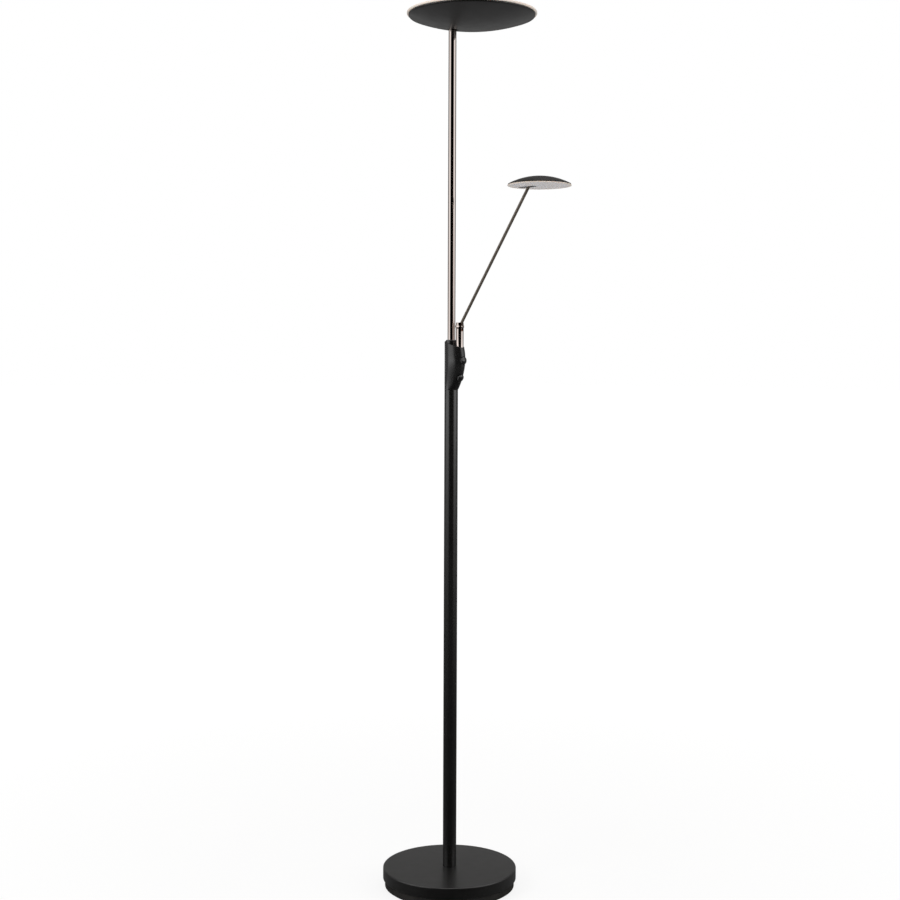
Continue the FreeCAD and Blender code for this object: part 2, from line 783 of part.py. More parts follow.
def make_knobs():
    """Hollow domed knobs, each pressed on its dimmer's shaft."""
    for name, knob in knobs:
        rim_top = lamp.recess_depth - lamp.knob_floor_gap
        nut_room = lamp.dimmer_nut_thickness + lamp.knob_floor_gap
        skirt = lamp.knob_radius - lamp.knob_wall
        dome = arc_radius(lamp.knob_radius - lamp.knob_wall / 2, lamp.knob_dome)
        edge = lamp.knob_wall / 2
        grip = lamp.shaft_radius + lamp.fixed_gap
        bore_top = rim_top + lamp.knob_dome / 2
        body = turned(name + "_knob", [
            (skirt, 0), (lamp.knob_radius, 0), (lamp.knob_radius, rim_top - edge, edge),
            (lamp.knob_radius - edge, rim_top, dome), (0, rim_top + lamp.knob_dome), (0, bore_top),
            (grip, bore_top), (grip, nut_room), (skirt, nut_room)])
        place(body, *at_knob(knob, lamp.knob_floor_gap - lamp.recess_depth))
        node(name + "_knob", body)
        shaft_start = dimmer_front - lamp.dimmer_depth / 2 + lamp.fixed_gap
        shaft_end = recess_floor + lamp.knob_floor_gap + bore_top - lamp.fixed_gap
        shaft = cylinder(name + "_knob_shaft", lamp.shaft_radius, shaft_end - shaft_start,
                         *at_knob(knob, shaft_start))
        node(name + "_knob_shaft", shaft)


def make_board():
    back = lamp.upper_pole_radius + lamp.board_pole_gap
    board = box("circuit_board", lamp.board_thickness, lamp.board_width, lamp.board_length, back,
                -(lamp.board_width / 2), pole_top + lamp.board_bottom)
    node("circuit_board", board)


# Reading post: a slotted round post that turns in the cap on a bush, held by a washer and a nut

spigot_bottom = (cap_bottom - lamp.bush_flange_thickness - lamp.spring_washer_thickness
                 - lamp.swivel_nut_thickness - lamp.spigot_overhang)
slot_floor = post_seat + lamp.post_length - lamp.post_slot_depth


def make_post():
    top = post_seat + lamp.post_length
    blank = place(turned("post_blank", [
        (0, spigot_bottom), (lamp.spigot_radius, spigot_bottom),
        (lamp.spigot_radius, post_seat + lamp.running_gap),
        (lamp.post_radius, post_seat + lamp.running_gap), (lamp.post_radius, top - lamp.post_chamfer),
        (lamp.post_radius - lamp.post_chamfer, top), (0, top)]), lamp.post_offset)
    slot = box("post_slot", lamp.post_slot_back + lamp.post_radius * 2, lamp.post_slot_width,
               lamp.post_slot_depth * 2,
               lamp.post_offset - lamp.post_slot_back, -(lamp.post_slot_width / 2), slot_floor)
    bore = cylinder("post_pin_bore", lamp.arm_pin_radius + lamp.fixed_gap, lamp.post_radius * 2,
                    lamp.post_offset,
                    -lamp.post_radius, arm_pivot_height, sideways)
    flat = lamp.post_radius - lamp.spotface_depth
    flats = []
    for number, (side, turn) in enumerate(((1, sideways), (-1, across_minus_y))):
        flats.append(cylinder("post_flat_" + str(number),
                              lamp.arm_pin_head_radius + lamp.spotface_depth / 2,
                              lamp.post_radius, lamp.post_offset, flat * side, arm_pivot_height, turn))
    node("reading_post", cut("reading_post", blank, [slot, bore] + flats))


def make_swivel():
    bore = lamp.spigot_radius + lamp.running_gap
    outer = bore + lamp.bush_wall
    flange = outer + lamp.bush_flange_width
    bush = turned("swivel_bush", [
        (bore, cap_bottom - lamp.bush_flange_thickness), (flange, cap_bottom - lamp.bush_flange_thickness),
        (flange, cap_bottom), (outer, cap_bottom), (outer, post_seat), (bore, post_seat)])
    node("swivel_bush", place(bush, lamp.post_offset))
    grip = lamp.spigot_radius + lamp.fixed_gap
    washer_bottom = cap_bottom - lamp.bush_flange_thickness - lamp.spring_washer_thickness
    washer = ring("swivel_washer", outer, grip, lamp.spring_washer_thickness - lamp.running_gap)
    node("swivel_washer", place(washer, lamp.post_offset, 0, washer_bottom))
    nut_bottom = washer_bottom - lamp.swivel_nut_thickness
    blank = hexagon("swivel_nut_blank", lamp.swivel_nut_flats, lamp.swivel_nut_thickness, lamp.post_offset,
                    0,
                    nut_bottom)
    tap = cylinder("swivel_nut_tap", grip, lamp.swivel_nut_thickness, lamp.post_offset, 0, nut_bottom)
    node("swivel_nut", cut("swivel_nut", blank, [tap]))


def make_arm_pin():
    """The arm's pivot: a pin with a domed head, a round nut and two friction washers."""
    flat = lamp.post_radius - lamp.spotface_depth
    edge = lamp.arm_pin_head_height / 2
    dome = arc_radius(lamp.arm_pin_head_radius, edge)
    head_top = flat + lamp.arm_pin_head_height
    pin = turned("arm_pin", [
        (0, -(flat + edge)), (lamp.arm_pin_radius, -(flat + edge)), (lamp.arm_pin_radius, flat),
        (lamp.arm_pin_head_radius, flat), (lamp.arm_pin_head_radius, flat + edge, dome), (0, head_top)])
    place(pin, lamp.post_offset, 0, arm_pivot_height, across_minus_y)
    node("arm_pin", pin)
    grip = lamp.arm_pin_radius + lamp.fixed_gap
    nut = turned("arm_pin_nut", [
        (grip, flat), (lamp.arm_pin_head_radius, flat), (lamp.arm_pin_head_radius, flat + edge, dome),
        (0, head_top), (0, flat + edge + lamp.fixed_gap), (grip, flat + edge + lamp.fixed_gap)])
    place(nut, lamp.post_offset, 0, arm_pivot_height, sideways)
    node("arm_pin_nut", nut)
    washers = []
    inner = lamp.arm_eye_width / 2 + lamp.running_gap
    thickness = lamp.post_slot_width / 2 - lamp.fixed_gap - inner
    for number, (side, turn) in enumerate(((1, sideways), (-1, across_minus_y))):
        washer = ring("arm_washer_" + str(number), lamp.arm_eye_radius, grip, thickness)
        washers.append(place(washer, lamp.post_offset, inner * side, arm_pivot_height, turn))
    node("arm_friction_washers", group("arm_friction_washers", washers))


# Arm: a thin tube with an eye plugged into each end


def arm_place(thing):
    return place(thing, lamp.post_offset, 0, arm_pivot_height, ((0, 1, 0), lamp.arm_angle))


def arm_eye(name, level, radius, bore, upward):
    """An eye fitting whose neck and spigot run up or down the arm from its bore."""
    way = 1 if upward else -1
    half = lamp.arm_eye_width / 2
    eye = cylinder(name + "_eye", radius, lamp.arm_eye_width, 0, -half, level, sideways)
    neck_start = level if upward else level - lamp.arm_neck_length
    neck = cylinder(name + "_neck", lamp.arm_neck_radius, lamp.arm_neck_length, 0, 0, neck_start)
    spigot_start = level + lamp.arm_neck_length * way
    if not upward:
        spigot_start = spigot_start - lamp.arm_spigot_length
    spigot = cylinder(name + "_spigot", lamp.arm_radius - lamp.arm_wall - lamp.fixed_gap,
                      lamp.arm_spigot_length, 0, 0,
                      spigot_start)
    hole = cylinder(name + "_hole", bore + lamp.running_gap, lamp.arm_eye_width, 0, -half, level, sideways)
    fitting = cut(name, fuse(name + "_whole", [eye, neck, spigot]), [hole])
    node(name, arm_place(fitting))


def make_arm():
    arm_eye("arm_lower_eye", as_size(0), lamp.arm_eye_radius, lamp.arm_pin_radius, True)
    arm_eye("arm_upper_eye", lamp.arm_length, lamp.tip_eye_radius, lamp.tip_pin_radius, False)
    length = lamp.arm_length - lamp.arm_neck_length * 2
    outer = cylinder("arm_tube_outer", lamp.arm_radius, length, 0, 0, lamp.arm_neck_length)
    bore = cylinder("arm_tube_bore", lamp.arm_radius - lamp.arm_wall, length, 0, 0, lamp.arm_neck_length)
    node("arm_tube", arm_place(cut("arm_tube", outer, [bore])))


# Reading head: a shallow dome on a pale ring, with a plate, light board and diffuser inside it

reading_ring_inner = lamp.reading_ring_radius - lamp.reading_ring_width
plate_bottom = ring_top - lamp.reading_plate_thickness
board_under = plate_bottom - lamp.reading_board_thickness
reading_disc_radius = reading_ring_inner - lamp.fixed_gap


def head_slot(name):
    """The slot that the arm swings in, right through the plates under the hinge."""
    half = lamp.head_slot_length / 2
    tool = slot_block(name, half, half, lamp.head_slot_width, lamp.reading_ring_height * 3)
    return place(tool, tip_across, 0, ring_bottom - lamp.reading_ring_height)


def head_screw_place(index):
    x, y = around(lamp.reading_screw_circle, int(lamp.reading_screw_count.value), index)
    return head_centre + x, y


def make_dome():
    ball = arc_radius(lamp.dome_radius, lamp.dome_rise)
    centre_drop = ball - lamp.dome_rise
    inner_ball = ball - lamp.dome_wall
    inner_foot = root(inner_ball * inner_ball - centre_drop * centre_drop)
    filled = turned("dome_filled", [(0, 0), (lamp.dome_radius, 0, ball), (0, lamp.dome_rise)])
    cavity = turned("dome_cavity", [(0, 0), (inner_foot, 0, inner_ball),
                                    (0, lamp.dome_rise - lamp.dome_wall)])
    place(filled, head_centre, 0, ring_top)
    place(cavity, head_centre, 0, ring_top)
    bosses = []
    holes = []
    for index in range(int(lamp.reading_screw_count.value)):
        x, y = head_screw_place(index)
        bosses.append(cylinder("dome_boss_" + str(index), lamp.head_boss_radius, lamp.dome_rise, x, y,
                               ring_top))
        holes.append(cylinder("dome_boss_hole_" + str(index), lamp.screw_radius + lamp.fixed_gap,
                              lamp.screw_length - lamp.reading_plate_thickness, x, y, ring_top))
    inside = common("dome_bosses_in_dome", filled, fuse("dome_bosses", bosses))
    whole = fuse("dome_whole", [cut("dome_shell", filled, [cavity]), inside])
    node("reading_dome", cut("reading_dome", whole, holes))


def make_reading_ring():
    bevel = lamp.reading_ring_bevel
    height = lamp.reading_ring_height
    outer = lamp.reading_ring_radius
    pale = turned("reading_ring", [
        (reading_ring_inner, 0), (outer - bevel, 0), (outer, bevel), (outer, height - bevel),
        (outer - bevel, height), (reading_ring_inner, height)])
    node("reading_ring", place(pale, head_centre, 0, ring_bottom))


def make_reading_plates():
    diffuser = place(disc("reading_diffuser_disc", reading_disc_radius, lamp.reading_diffuser_thickness),
                     head_centre, 0, ring_bottom + lamp.reading_diffuser_recess)
    node("reading_diffuser", cut("reading_diffuser", diffuser, [head_slot("diffuser_slot")]))
    plate = place(disc("reading_plate_disc", reading_disc_radius, lamp.reading_plate_thickness),
                  head_centre, 0, plate_bottom)
    board = place(disc("reading_board_disc", lamp.reading_board_radius, lamp.reading_board_thickness),
                  head_centre, 0, board_under)
    plate_holes = [head_slot("plate_slot")]
    board_holes = [head_slot("board_slot")]
    screws = []
    for index in range(int(lamp.reading_screw_count.value)):
        x, y = head_screw_place(index)
        plate_holes.append(cylinder("plate_hole_" + str(index), lamp.screw_radius + lamp.fixed_gap,
                                    lamp.reading_plate_thickness, x, y, plate_bottom))
        board_holes.append(cylinder("board_hole_" + str(index), lamp.screw_head_radius + lamp.fixed_gap,
                                    lamp.reading_board_thickness, x, y, board_under))
        screws.append(cap_screw("head_screw_" + str(index), x, y, plate_bottom,
                                lamp.screw_length - lamp.fixed_gap))
    node("reading_heat_plate", cut("reading_heat_plate", plate, plate_holes))
    node("reading_led_board", cut("reading_led_board", board, board_holes))
    node("reading_head_screws", group("reading_head_screws", screws))
    count = int(lamp.reading_led_count.value)
    lights = []
    for index in range(count):
        x, y = around(lamp.reading_led_circle, count, index, 180 / count)
        lights.append(led("reading_led_" + str(index), head_centre + x, y, board_under - lamp.led_height,
                          lamp.led_height))
    node("reading_leds", group("reading_leds", lights))


def ear(name, side, inner, thickness, radius, x, hinge, foot, foot_length, foot_width, foot_level):
    """One bracket ear: a round lug about the hinge, a web to its foot, and the foot itself."""
    y = inner if side > 0 else -(inner + thickness)
    lug = cylinder(name + "_lug", radius, thickness, x, y, hinge, sideways)
    low = foot_level if foot_level.value < hinge.value else hinge
    high = hinge if foot_level.value < hinge.value else foot_level
    web = box(name + "_web", radius * 2, thickness, high - low, x - radius, y, low)
    foot_y = inner if side > 0 else -(inner + foot_width)
    foot_z = foot_level if foot_level.value < hinge.value else foot_level - foot
    plate = box(name + "_foot", foot_length, foot_width, foot, x - foot_length / 2, foot_y, foot_z)
    return fuse(name, [lug, web, plate])


def make_reading_hinge():
    inner = lamp.head_slot_width / 2 + lamp.running_gap * 2
    ears = []
    for name, side in (("left_tip_ear", 1), ("right_tip_ear", -1)):
        ears.append(ear(name, side, inner, lamp.bracket_thickness, lamp.tip_eye_radius, tip_across,
                        tip_height, lamp.bracket_thickness, lamp.bracket_foot_length,
                        lamp.bracket_foot_width, ring_top))
    reach = inner + lamp.bracket_thickness
    bore = cylinder("tip_ear_bore", lamp.tip_pin_radius + lamp.fixed_gap, reach * 2, tip_across, -reach,
                    tip_height, sideways)
    under = box("under_tip_ears", lamp.bracket_foot_length, reach * 2, lamp.tip_eye_radius * 2,
                tip_across - lamp.bracket_foot_length / 2, -reach, ring_top - lamp.tip_eye_radius * 2)
    brackets = []
    for piece in ears:
        brackets.append(cut(piece.Name + "_bored", piece, [bore, under]))
    node("reading_hinge_ears", group("reading_hinge_ears", brackets))
    head = lamp.tip_pin_radius + lamp.tip_pin_head_width
    pin = turned("reading_hinge_pin", [
        (0, -reach - lamp.tip_pin_head_height), (lamp.tip_pin_radius, -reach - lamp.tip_pin_head_height),
        (lamp.tip_pin_radius, reach), (head, reach), (head, reach + lamp.tip_pin_head_height),
        (0, reach + lamp.tip_pin_head_height)])
    node("reading_hinge_pin", place(pin, tip_across, 0, tip_height, across_minus_y))
    start = lamp.arm_eye_width / 2 + lamp.running_gap
    washers = []
    for number, (side, turn) in enumerate(((1, sideways), (-1, across_minus_y))):
        washer = ring("tip_washer_" + str(number), lamp.tip_eye_radius - lamp.tip_pin_head_width / 2,
                      lamp.tip_pin_radius + lamp.fixed_gap, inner - lamp.fixed_gap - start)
        washers.append(place(washer, tip_across, start * side, tip_height, turn))
    node("reading_hinge_washers", group("reading_hinge_washers", washers))


# Main head: a spun dish on a tilting knuckle, closed by a pale ring and an opal cover

dish_ball = arc_radius(lamp.dish_cap_radius, lamp.dish_sag)
dish_slope = lamp.dish_cap_radius / dish_ball
dish_radius = lamp.dish_cap_radius + lamp.dish_corner * (as_size(1) - dish_slope)
dish_bottom = rim_height - lamp.dish_depth
main_plate_bottom = tilt_pin_height + lamp.tongue_radius + lamp.tilt_foot_gap + lamp.tilt_foot_thickness
main_plate_top = main_plate_bottom + lamp.main_plate_thickness
main_board_top = main_plate_top + lamp.main_board_thickness


def make_knuckle():
    """The plug in the pole's top and the tongue that stands up from it into the dish."""
    pole_end = tilt_pin_height - lamp.tilt_pin_above_pole
    plug = cylinder("knuckle_plug", upper_pole_inner - lamp.fixed_gap, lamp.knuckle_spigot_length, 0, 0,
                    pole_end - lamp.knuckle_spigot_length)
    half = lamp.tongue_thickness / 2
    stem = box("tongue_stem", lamp.tongue_radius * 2, lamp.tongue_thickness, lamp.tilt_pin_above_pole,
               -lamp.tongue_radius, -half, pole_end)
    tip = cylinder("tongue_tip", lamp.tongue_radius, lamp.tongue_thickness, 0, -half, tilt_pin_height,
                   sideways)
    hole = cylinder("tongue_hole", lamp.tilt_pin_radius + lamp.running_gap, lamp.tongue_thickness, 0, -half,
                    tilt_pin_height, sideways)
    wire_way = cylinder("knuckle_wire_way", lamp.knuckle_wire_way, lamp.knuckle_spigot_length, 0, 0,
                        pole_end - lamp.knuckle_spigot_length - lamp.tilt_pin_above_pole / 2)
    node("pole_top_knuckle", cut("pole_top_knuckle", fuse("knuckle_whole", [plug, stem, tip]),
                                 [hole, wire_way]))


def plate_post_place(index):
    x, y = around(lamp.plate_post_circle, int(lamp.plate_post_count.value), index, 45)
    return lamp.dish_offset + x, y


def make_dish():
    slope_cosine = (dish_ball - lamp.dish_sag) / dish_ball
    corner_top = lamp.dish_sag + lamp.dish_corner * slope_cosine
    filled = turned("dish_filled", [
        (0, 0, dish_ball), (lamp.dish_cap_radius, lamp.dish_sag, lamp.dish_corner),
        (dish_radius, corner_top),
        (dish_radius, lamp.dish_depth), (0, lamp.dish_depth)])
    cavity = turned("dish_cavity", [
        (0, lamp.dish_wall, dish_ball - lamp.dish_wall),
        (lamp.dish_cap_radius - lamp.dish_wall * dish_slope, lamp.dish_sag + lamp.dish_wall * slope_cosine,
         lamp.dish_corner - lamp.dish_wall),
        (dish_radius - lamp.dish_wall, corner_top), (dish_radius - lamp.dish_wall, lamp.dish_depth),
        (0, lamp.dish_depth)])
    place(filled, lamp.dish_offset, 0, dish_bottom)
    place(cavity, lamp.dish_offset, 0, dish_bottom)
    posts = []
    holes = []
    for index in range(int(lamp.plate_post_count.value)):
        x, y = plate_post_place(index)
        posts.append(cylinder("plate_post_" + str(index), lamp.plate_post_radius,
                              main_plate_bottom - dish_bottom, x, y, dish_bottom))
        holes.append(cylinder("plate_post_hole_" + str(index), lamp.screw_radius + lamp.fixed_gap,
                              lamp.screw_length - lamp.main_plate_thickness, x, y,
                              main_plate_bottom - lamp.screw_length + lamp.main_plate_thickness))
    inside = common("plate_posts_in_dish", filled, fuse("plate_posts", posts))
    whole = fuse("dish_whole", [cut("dish_shell", filled, [cavity]), inside])
    slot = slot_block("dish_slot", lamp.dish_slot_back, lamp.dish_slot_front,
                      (lamp.upper_pole_radius + lamp.dish_slot_gap) * 2, lamp.dish_depth / 2)
    place(slot, 0, 0, dish_bottom)
    node("main_dish", cut("main_dish", whole, holes + [slot]))


def make_main_ring():
    outer = dish_radius + lamp.main_ring_overhang
    inner = outer - lamp.main_ring_width
    seat = inner + lamp.main_ring_ledge
    bevel = lamp.main_ring_bevel
    height = lamp.main_ring_height
    ledge = height - lamp.main_diffuser_thickness
    pale = turned("main_ring", [
        (inner, 0), (outer - bevel, 0), (outer, bevel), (outer, height - bevel),
        (outer - bevel, height), (seat, height), (seat, ledge), (inner, ledge)])
    node("main_ring", place(pale, lamp.dish_offset, 0, rim_height))
    cover = disc("main_diffuser", seat - lamp.fixed_gap, lamp.main_diffuser_thickness)
    node("main_diffuser", place(cover, lamp.dish_offset, 0, rim_height + ledge))


def make_main_plates():
    plate = place(disc("main_plate_disc", lamp.main_plate_radius, lamp.main_plate_thickness),
                  lamp.dish_offset, 0,
                  main_plate_bottom)
    board = place(ring("main_board_ring", lamp.main_board_outer, lamp.main_board_inner,
                       lamp.main_board_thickness),
                  lamp.dish_offset, 0, main_plate_top)
    plate_holes = []
    board_holes = []
    screws = []
    for index in range(int(lamp.plate_post_count.value)):
        x, y = plate_post_place(index)
        plate_holes.append(cylinder("main_plate_hole_" + str(index), lamp.screw_radius + lamp.fixed_gap,
                                    lamp.main_plate_thickness, x, y, main_plate_bottom))
        board_holes.append(cylinder("main_board_hole_" + str(index),
                                    lamp.screw_head_radius + lamp.fixed_gap,
                                    lamp.main_board_thickness, x, y, main_plate_top))
        screws.append(cap_screw("plate_screw_" + str(index), x, y, main_plate_top,
                                lamp.screw_length - lamp.fixed_gap, False))
    node("main_plate_screws", group("main_plate_screws", screws))
    bracket_screws = []
    for index, (x, y) in enumerate(bracket_screw_places()):
        plate_holes.append(cylinder("bracket_hole_" + str(index), lamp.screw_radius + lamp.fixed_gap,
                                    lamp.main_plate_thickness, x, y, main_plate_bottom))
        bracket_screws.append(cap_screw("bracket_screw_" + str(index), x, y,
                                        main_plate_bottom - lamp.tilt_foot_thickness,
                                        lamp.tilt_foot_thickness + lamp.main_plate_thickness - lamp.fixed_gap))
    node("main_bracket_screws", group("main_bracket_screws", bracket_screws))
    node("main_heat_plate", cut("main_heat_plate", plate, plate_holes))
    node("main_led_board", cut("main_led_board", board, board_holes))
    lights = []
    circles = ((lamp.outer_led_circle, lamp.outer_led_count), (lamp.inner_led_circle, lamp.inner_led_count))
    for circle, count in circles:
        number = int(count.value)
        for index in range(number):
            x, y = around(circle, number, index)
            lights.append(led("main_led_" + str(len(lights)), lamp.dish_offset + x, y, main_board_top,
                              lamp.led_height))
    node("main_leds", group("main_leds", lights))


def bracket_screw_places():
    """Two screws through each foot of the tilt bracket."""
    inner = lamp.tongue_thickness / 2 + lamp.tilt_washer_thickness + lamp.running_gap * 2
    x = lamp.tilt_foot_length / 2 - lamp.screw_head_radius * 1.5
    y = inner + lamp.tilt_foot_width - lamp.screw_head_radius * 1.5
    return [(x, y), (-x, y), (x, -y), (-x, -y)]


def make_tilt_bracket():
    inner = lamp.tongue_thickness / 2 + lamp.tilt_washer_thickness + lamp.running_gap * 2
    reach = inner + lamp.tilt_ear_thickness
    bore = cylinder("tilt_ear_bore", lamp.tilt_pin_radius + lamp.fixed_gap, reach * 2, 0, -reach,
                    tilt_pin_height, sideways)
    holes = [bore]
    for index, (x, y) in enumerate(bracket_screw_places()):
        holes.append(cylinder("tilt_foot_hole_" + str(index), lamp.screw_radius + lamp.fixed_gap,
                              lamp.tilt_foot_thickness, x, y, main_plate_bottom - lamp.tilt_foot_thickness))
    sides = []
    for name, side in (("left_tilt_ear", 1), ("right_tilt_ear", -1)):
        sides.append(ear(name, side, inner, lamp.tilt_ear_thickness, lamp.tilt_ear_radius, as_size(0),
                         tilt_pin_height, lamp.tilt_foot_thickness, lamp.tilt_foot_length,
                         lamp.tilt_foot_width,
                         main_plate_bottom))
    bridge = box("tilt_bridge", lamp.tilt_foot_length, inner * 2, lamp.tilt_foot_thickness,
                 -(lamp.tilt_foot_length / 2), -inner, main_plate_bottom - lamp.tilt_foot_thickness)
    node("main_tilt_bracket", cut("main_tilt_bracket", fuse("tilt_bracket_whole", sides + [bridge]),
                                  holes))
    head = lamp.tilt_pin_radius + lamp.tilt_pin_head_width
    pin = turned("main_tilt_pin", [
        (0, -reach - lamp.tilt_pin_head_height), (lamp.tilt_pin_radius, -reach - lamp.tilt_pin_head_height),
        (lamp.tilt_pin_radius, reach), (head, reach), (head, reach + lamp.tilt_pin_head_height),
        (0, reach + lamp.tilt_pin_head_height)])
    node("main_tilt_pin", place(pin, 0, 0, tilt_pin_height, across_minus_y))
    nut = ring("main_tilt_nut", head, lamp.tilt_pin_radius + lamp.fixed_gap, lamp.tilt_pin_head_height)
    node("main_tilt_nut", place(nut, 0, reach, tilt_pin_height, sideways))
    start = lamp.tongue_thickness / 2 + lamp.running_gap
    washers = []
    for number, (side, turn) in enumerate(((1, sideways), (-1, across_minus_y))):
        washer = ring("tilt_washer_" + str(number), lamp.tongue_radius,
                      lamp.tilt_pin_radius + lamp.fixed_gap,
                      lamp.tilt_washer_thickness)
        washers.append(place(washer, 0, start * side, tilt_pin_height, turn))
    node("main_tilt_washers", group("main_tilt_washers", washers))


def make_driver():
    """The potted power supply that hangs under the heat plate."""
    body = doc.addObject("PartDesign::Body", "main_driver")
    half_length = lamp.driver_length / 2
    half_width = lamp.driver_width / 2
    curve = lamp.driver_round
    outline = flat_sketch(body, "driver_outline", "XY_Plane", [
        (curve - half_length, -half_width), (half_length - curve, -half_width, curve),
        (half_length, curve - half_width), (half_length, half_width - curve, curve),
        (half_length - curve, half_width), (curve - half_length, half_width, curve),
        (-half_length, half_width - curve), (-half_length, curve - half_width, curve)])
    padding = body.newObject("PartDesign::Pad", "driver_pad")
    padding.Profile = outline
    bind(padding, "Length", lamp.driver_height)
    body.Tip = padding
    beside_bracket = lamp.tilt_foot_length + lamp.driver_length / 2 + lamp.driver_round
    node("main_driver", place(body, beside_bracket, 0, main_plate_bottom - lamp.driver_height))


def check_and_write():
    """Check every object, then write one file for each named piece."""
    doc.recompute()
    for thing in doc.Objects:
        states = " ".join(thing.State)
        if "Invalid" in states or "Error" in states:
            raise RuntimeError(thing.Name + " failed: " + states)
    os.makedirs("parts", exist_ok=True)
    for name, thing in nodes.items():
        if thing.Shape.isNull() or not thing.Shape.isValid():
            raise RuntimeError(name + " has no valid shape")
        if not thing.Shape.Solids:
            raise RuntimeError(name + " holds no solid")
    for name, thing in nodes.items():
        thing.Shape.exportStep("parts/" + name + ".step")
        print(name, len(thing.Shape.Solids), round(thing.Shape.Volume, 1))


make_pad()
make_weight()
make_cover()
make_grommet()
make_stud()
make_poles()
make_coupler()
make_housing()
make_cap()
make_collar()
make_dimmers()
make_knobs()
make_board()
make_post()
make_swivel()
make_arm_pin()
make_arm()
make_dome()
make_reading_ring()
make_reading_plates()
make_reading_hinge()
make_knuckle()
make_dish()
make_main_ring()
make_main_plates()
make_tilt_bracket()
make_driver()
check_and_write()
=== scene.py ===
import bpy
import bmesh
import json
import math
import numpy as np
from mathutils import Matrix, Vector


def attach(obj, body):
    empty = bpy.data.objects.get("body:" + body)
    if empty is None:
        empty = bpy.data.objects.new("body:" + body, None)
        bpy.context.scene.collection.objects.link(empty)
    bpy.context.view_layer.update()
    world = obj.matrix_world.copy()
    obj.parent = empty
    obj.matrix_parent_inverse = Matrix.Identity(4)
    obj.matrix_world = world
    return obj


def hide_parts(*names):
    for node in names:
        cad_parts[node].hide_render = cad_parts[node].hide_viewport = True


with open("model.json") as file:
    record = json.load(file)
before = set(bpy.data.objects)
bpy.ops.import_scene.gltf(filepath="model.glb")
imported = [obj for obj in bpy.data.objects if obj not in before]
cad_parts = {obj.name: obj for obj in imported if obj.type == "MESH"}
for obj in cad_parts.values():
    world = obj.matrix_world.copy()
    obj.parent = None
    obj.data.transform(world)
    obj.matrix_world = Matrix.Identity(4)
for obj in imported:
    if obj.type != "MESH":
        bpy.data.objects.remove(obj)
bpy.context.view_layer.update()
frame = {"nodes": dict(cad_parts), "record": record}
mm = 0.001
print("stage: frame loaded,", len(frame["nodes"]), "nodes")

# The camera, at the photo's angle: metres and degrees, with lens and sensor in millimetres
view = {"toward": (0.682, -0.731, 0), "distance": 3.0707, "height": 1.0859,
        "yaw": -0.0388, "pitch": 3.254, "roll": -0.2107, "lens": 59.78, "sensor": 36}


def addObject(name, data):
    # a new object, in the scene's own collection
    thing = bpy.data.objects.new(name, data)
    bpy.context.scene.collection.objects.link(thing)
    return thing


def placeCamera():
    # the camera stands on a line from the pole and looks back along it, turned by its yaw, pitch and roll
    out = Vector(view["toward"]).normalized()
    side = Vector((-out.y, out.x, 0))
    yaw, pitch, roll = (math.radians(view[k]) for k in ("yaw", "pitch", "roll"))
    level = side * math.sin(yaw) - out * math.cos(yaw)
    right = side * math.cos(yaw) + out * math.sin(yaw)
    ahead = level * math.cos(pitch) - Vector((0, 0, math.sin(pitch)))
    up = right.cross(ahead)
    across = right * math.cos(roll) - up * math.sin(roll)
    upward = up * math.cos(roll) + right * math.sin(roll)
    data = bpy.data.cameras.new("photoCamera")
    data.lens = view["lens"]
    data.sensor_width = view["sensor"]
    camera = addObject("photoCamera", data)
    spot = out * view["distance"] + Vector((0, 0, view["height"]))
    turned = Matrix((across, upward, -ahead)).transposed().to_4x4()
    camera.matrix_world = Matrix.Translation(spot) @ turned
    bpy.context.scene.camera = camera


placeCamera()
print("stage: camera")

# Materials: each is a shader whose colour, roughness and bump come from noise in Object coordinates
grainEnds = {"colour": (0.35, 0.65), "rough": (0.3, 0.7)}  # the noise values at both ends of each range


def newNode(tree, kind, **sockets):
    # a node with constants on its sockets, whose names are written with _ for a space
    node = tree.nodes.new(kind)
    for key, value in sockets.items():
        node.inputs[key.replace("_", " ")].default_value = value
    return node


def joinNodes(tree, *links):
    # each link is (node, output, node, input)
    for source, output, target, key in links:
        tree.links.new(source.outputs[output], target.inputs[key])


def emptyMaterial(name):
    material = bpy.data.materials.new(name)
    material.use_nodes = True
    material.node_tree.nodes.clear()
    return material


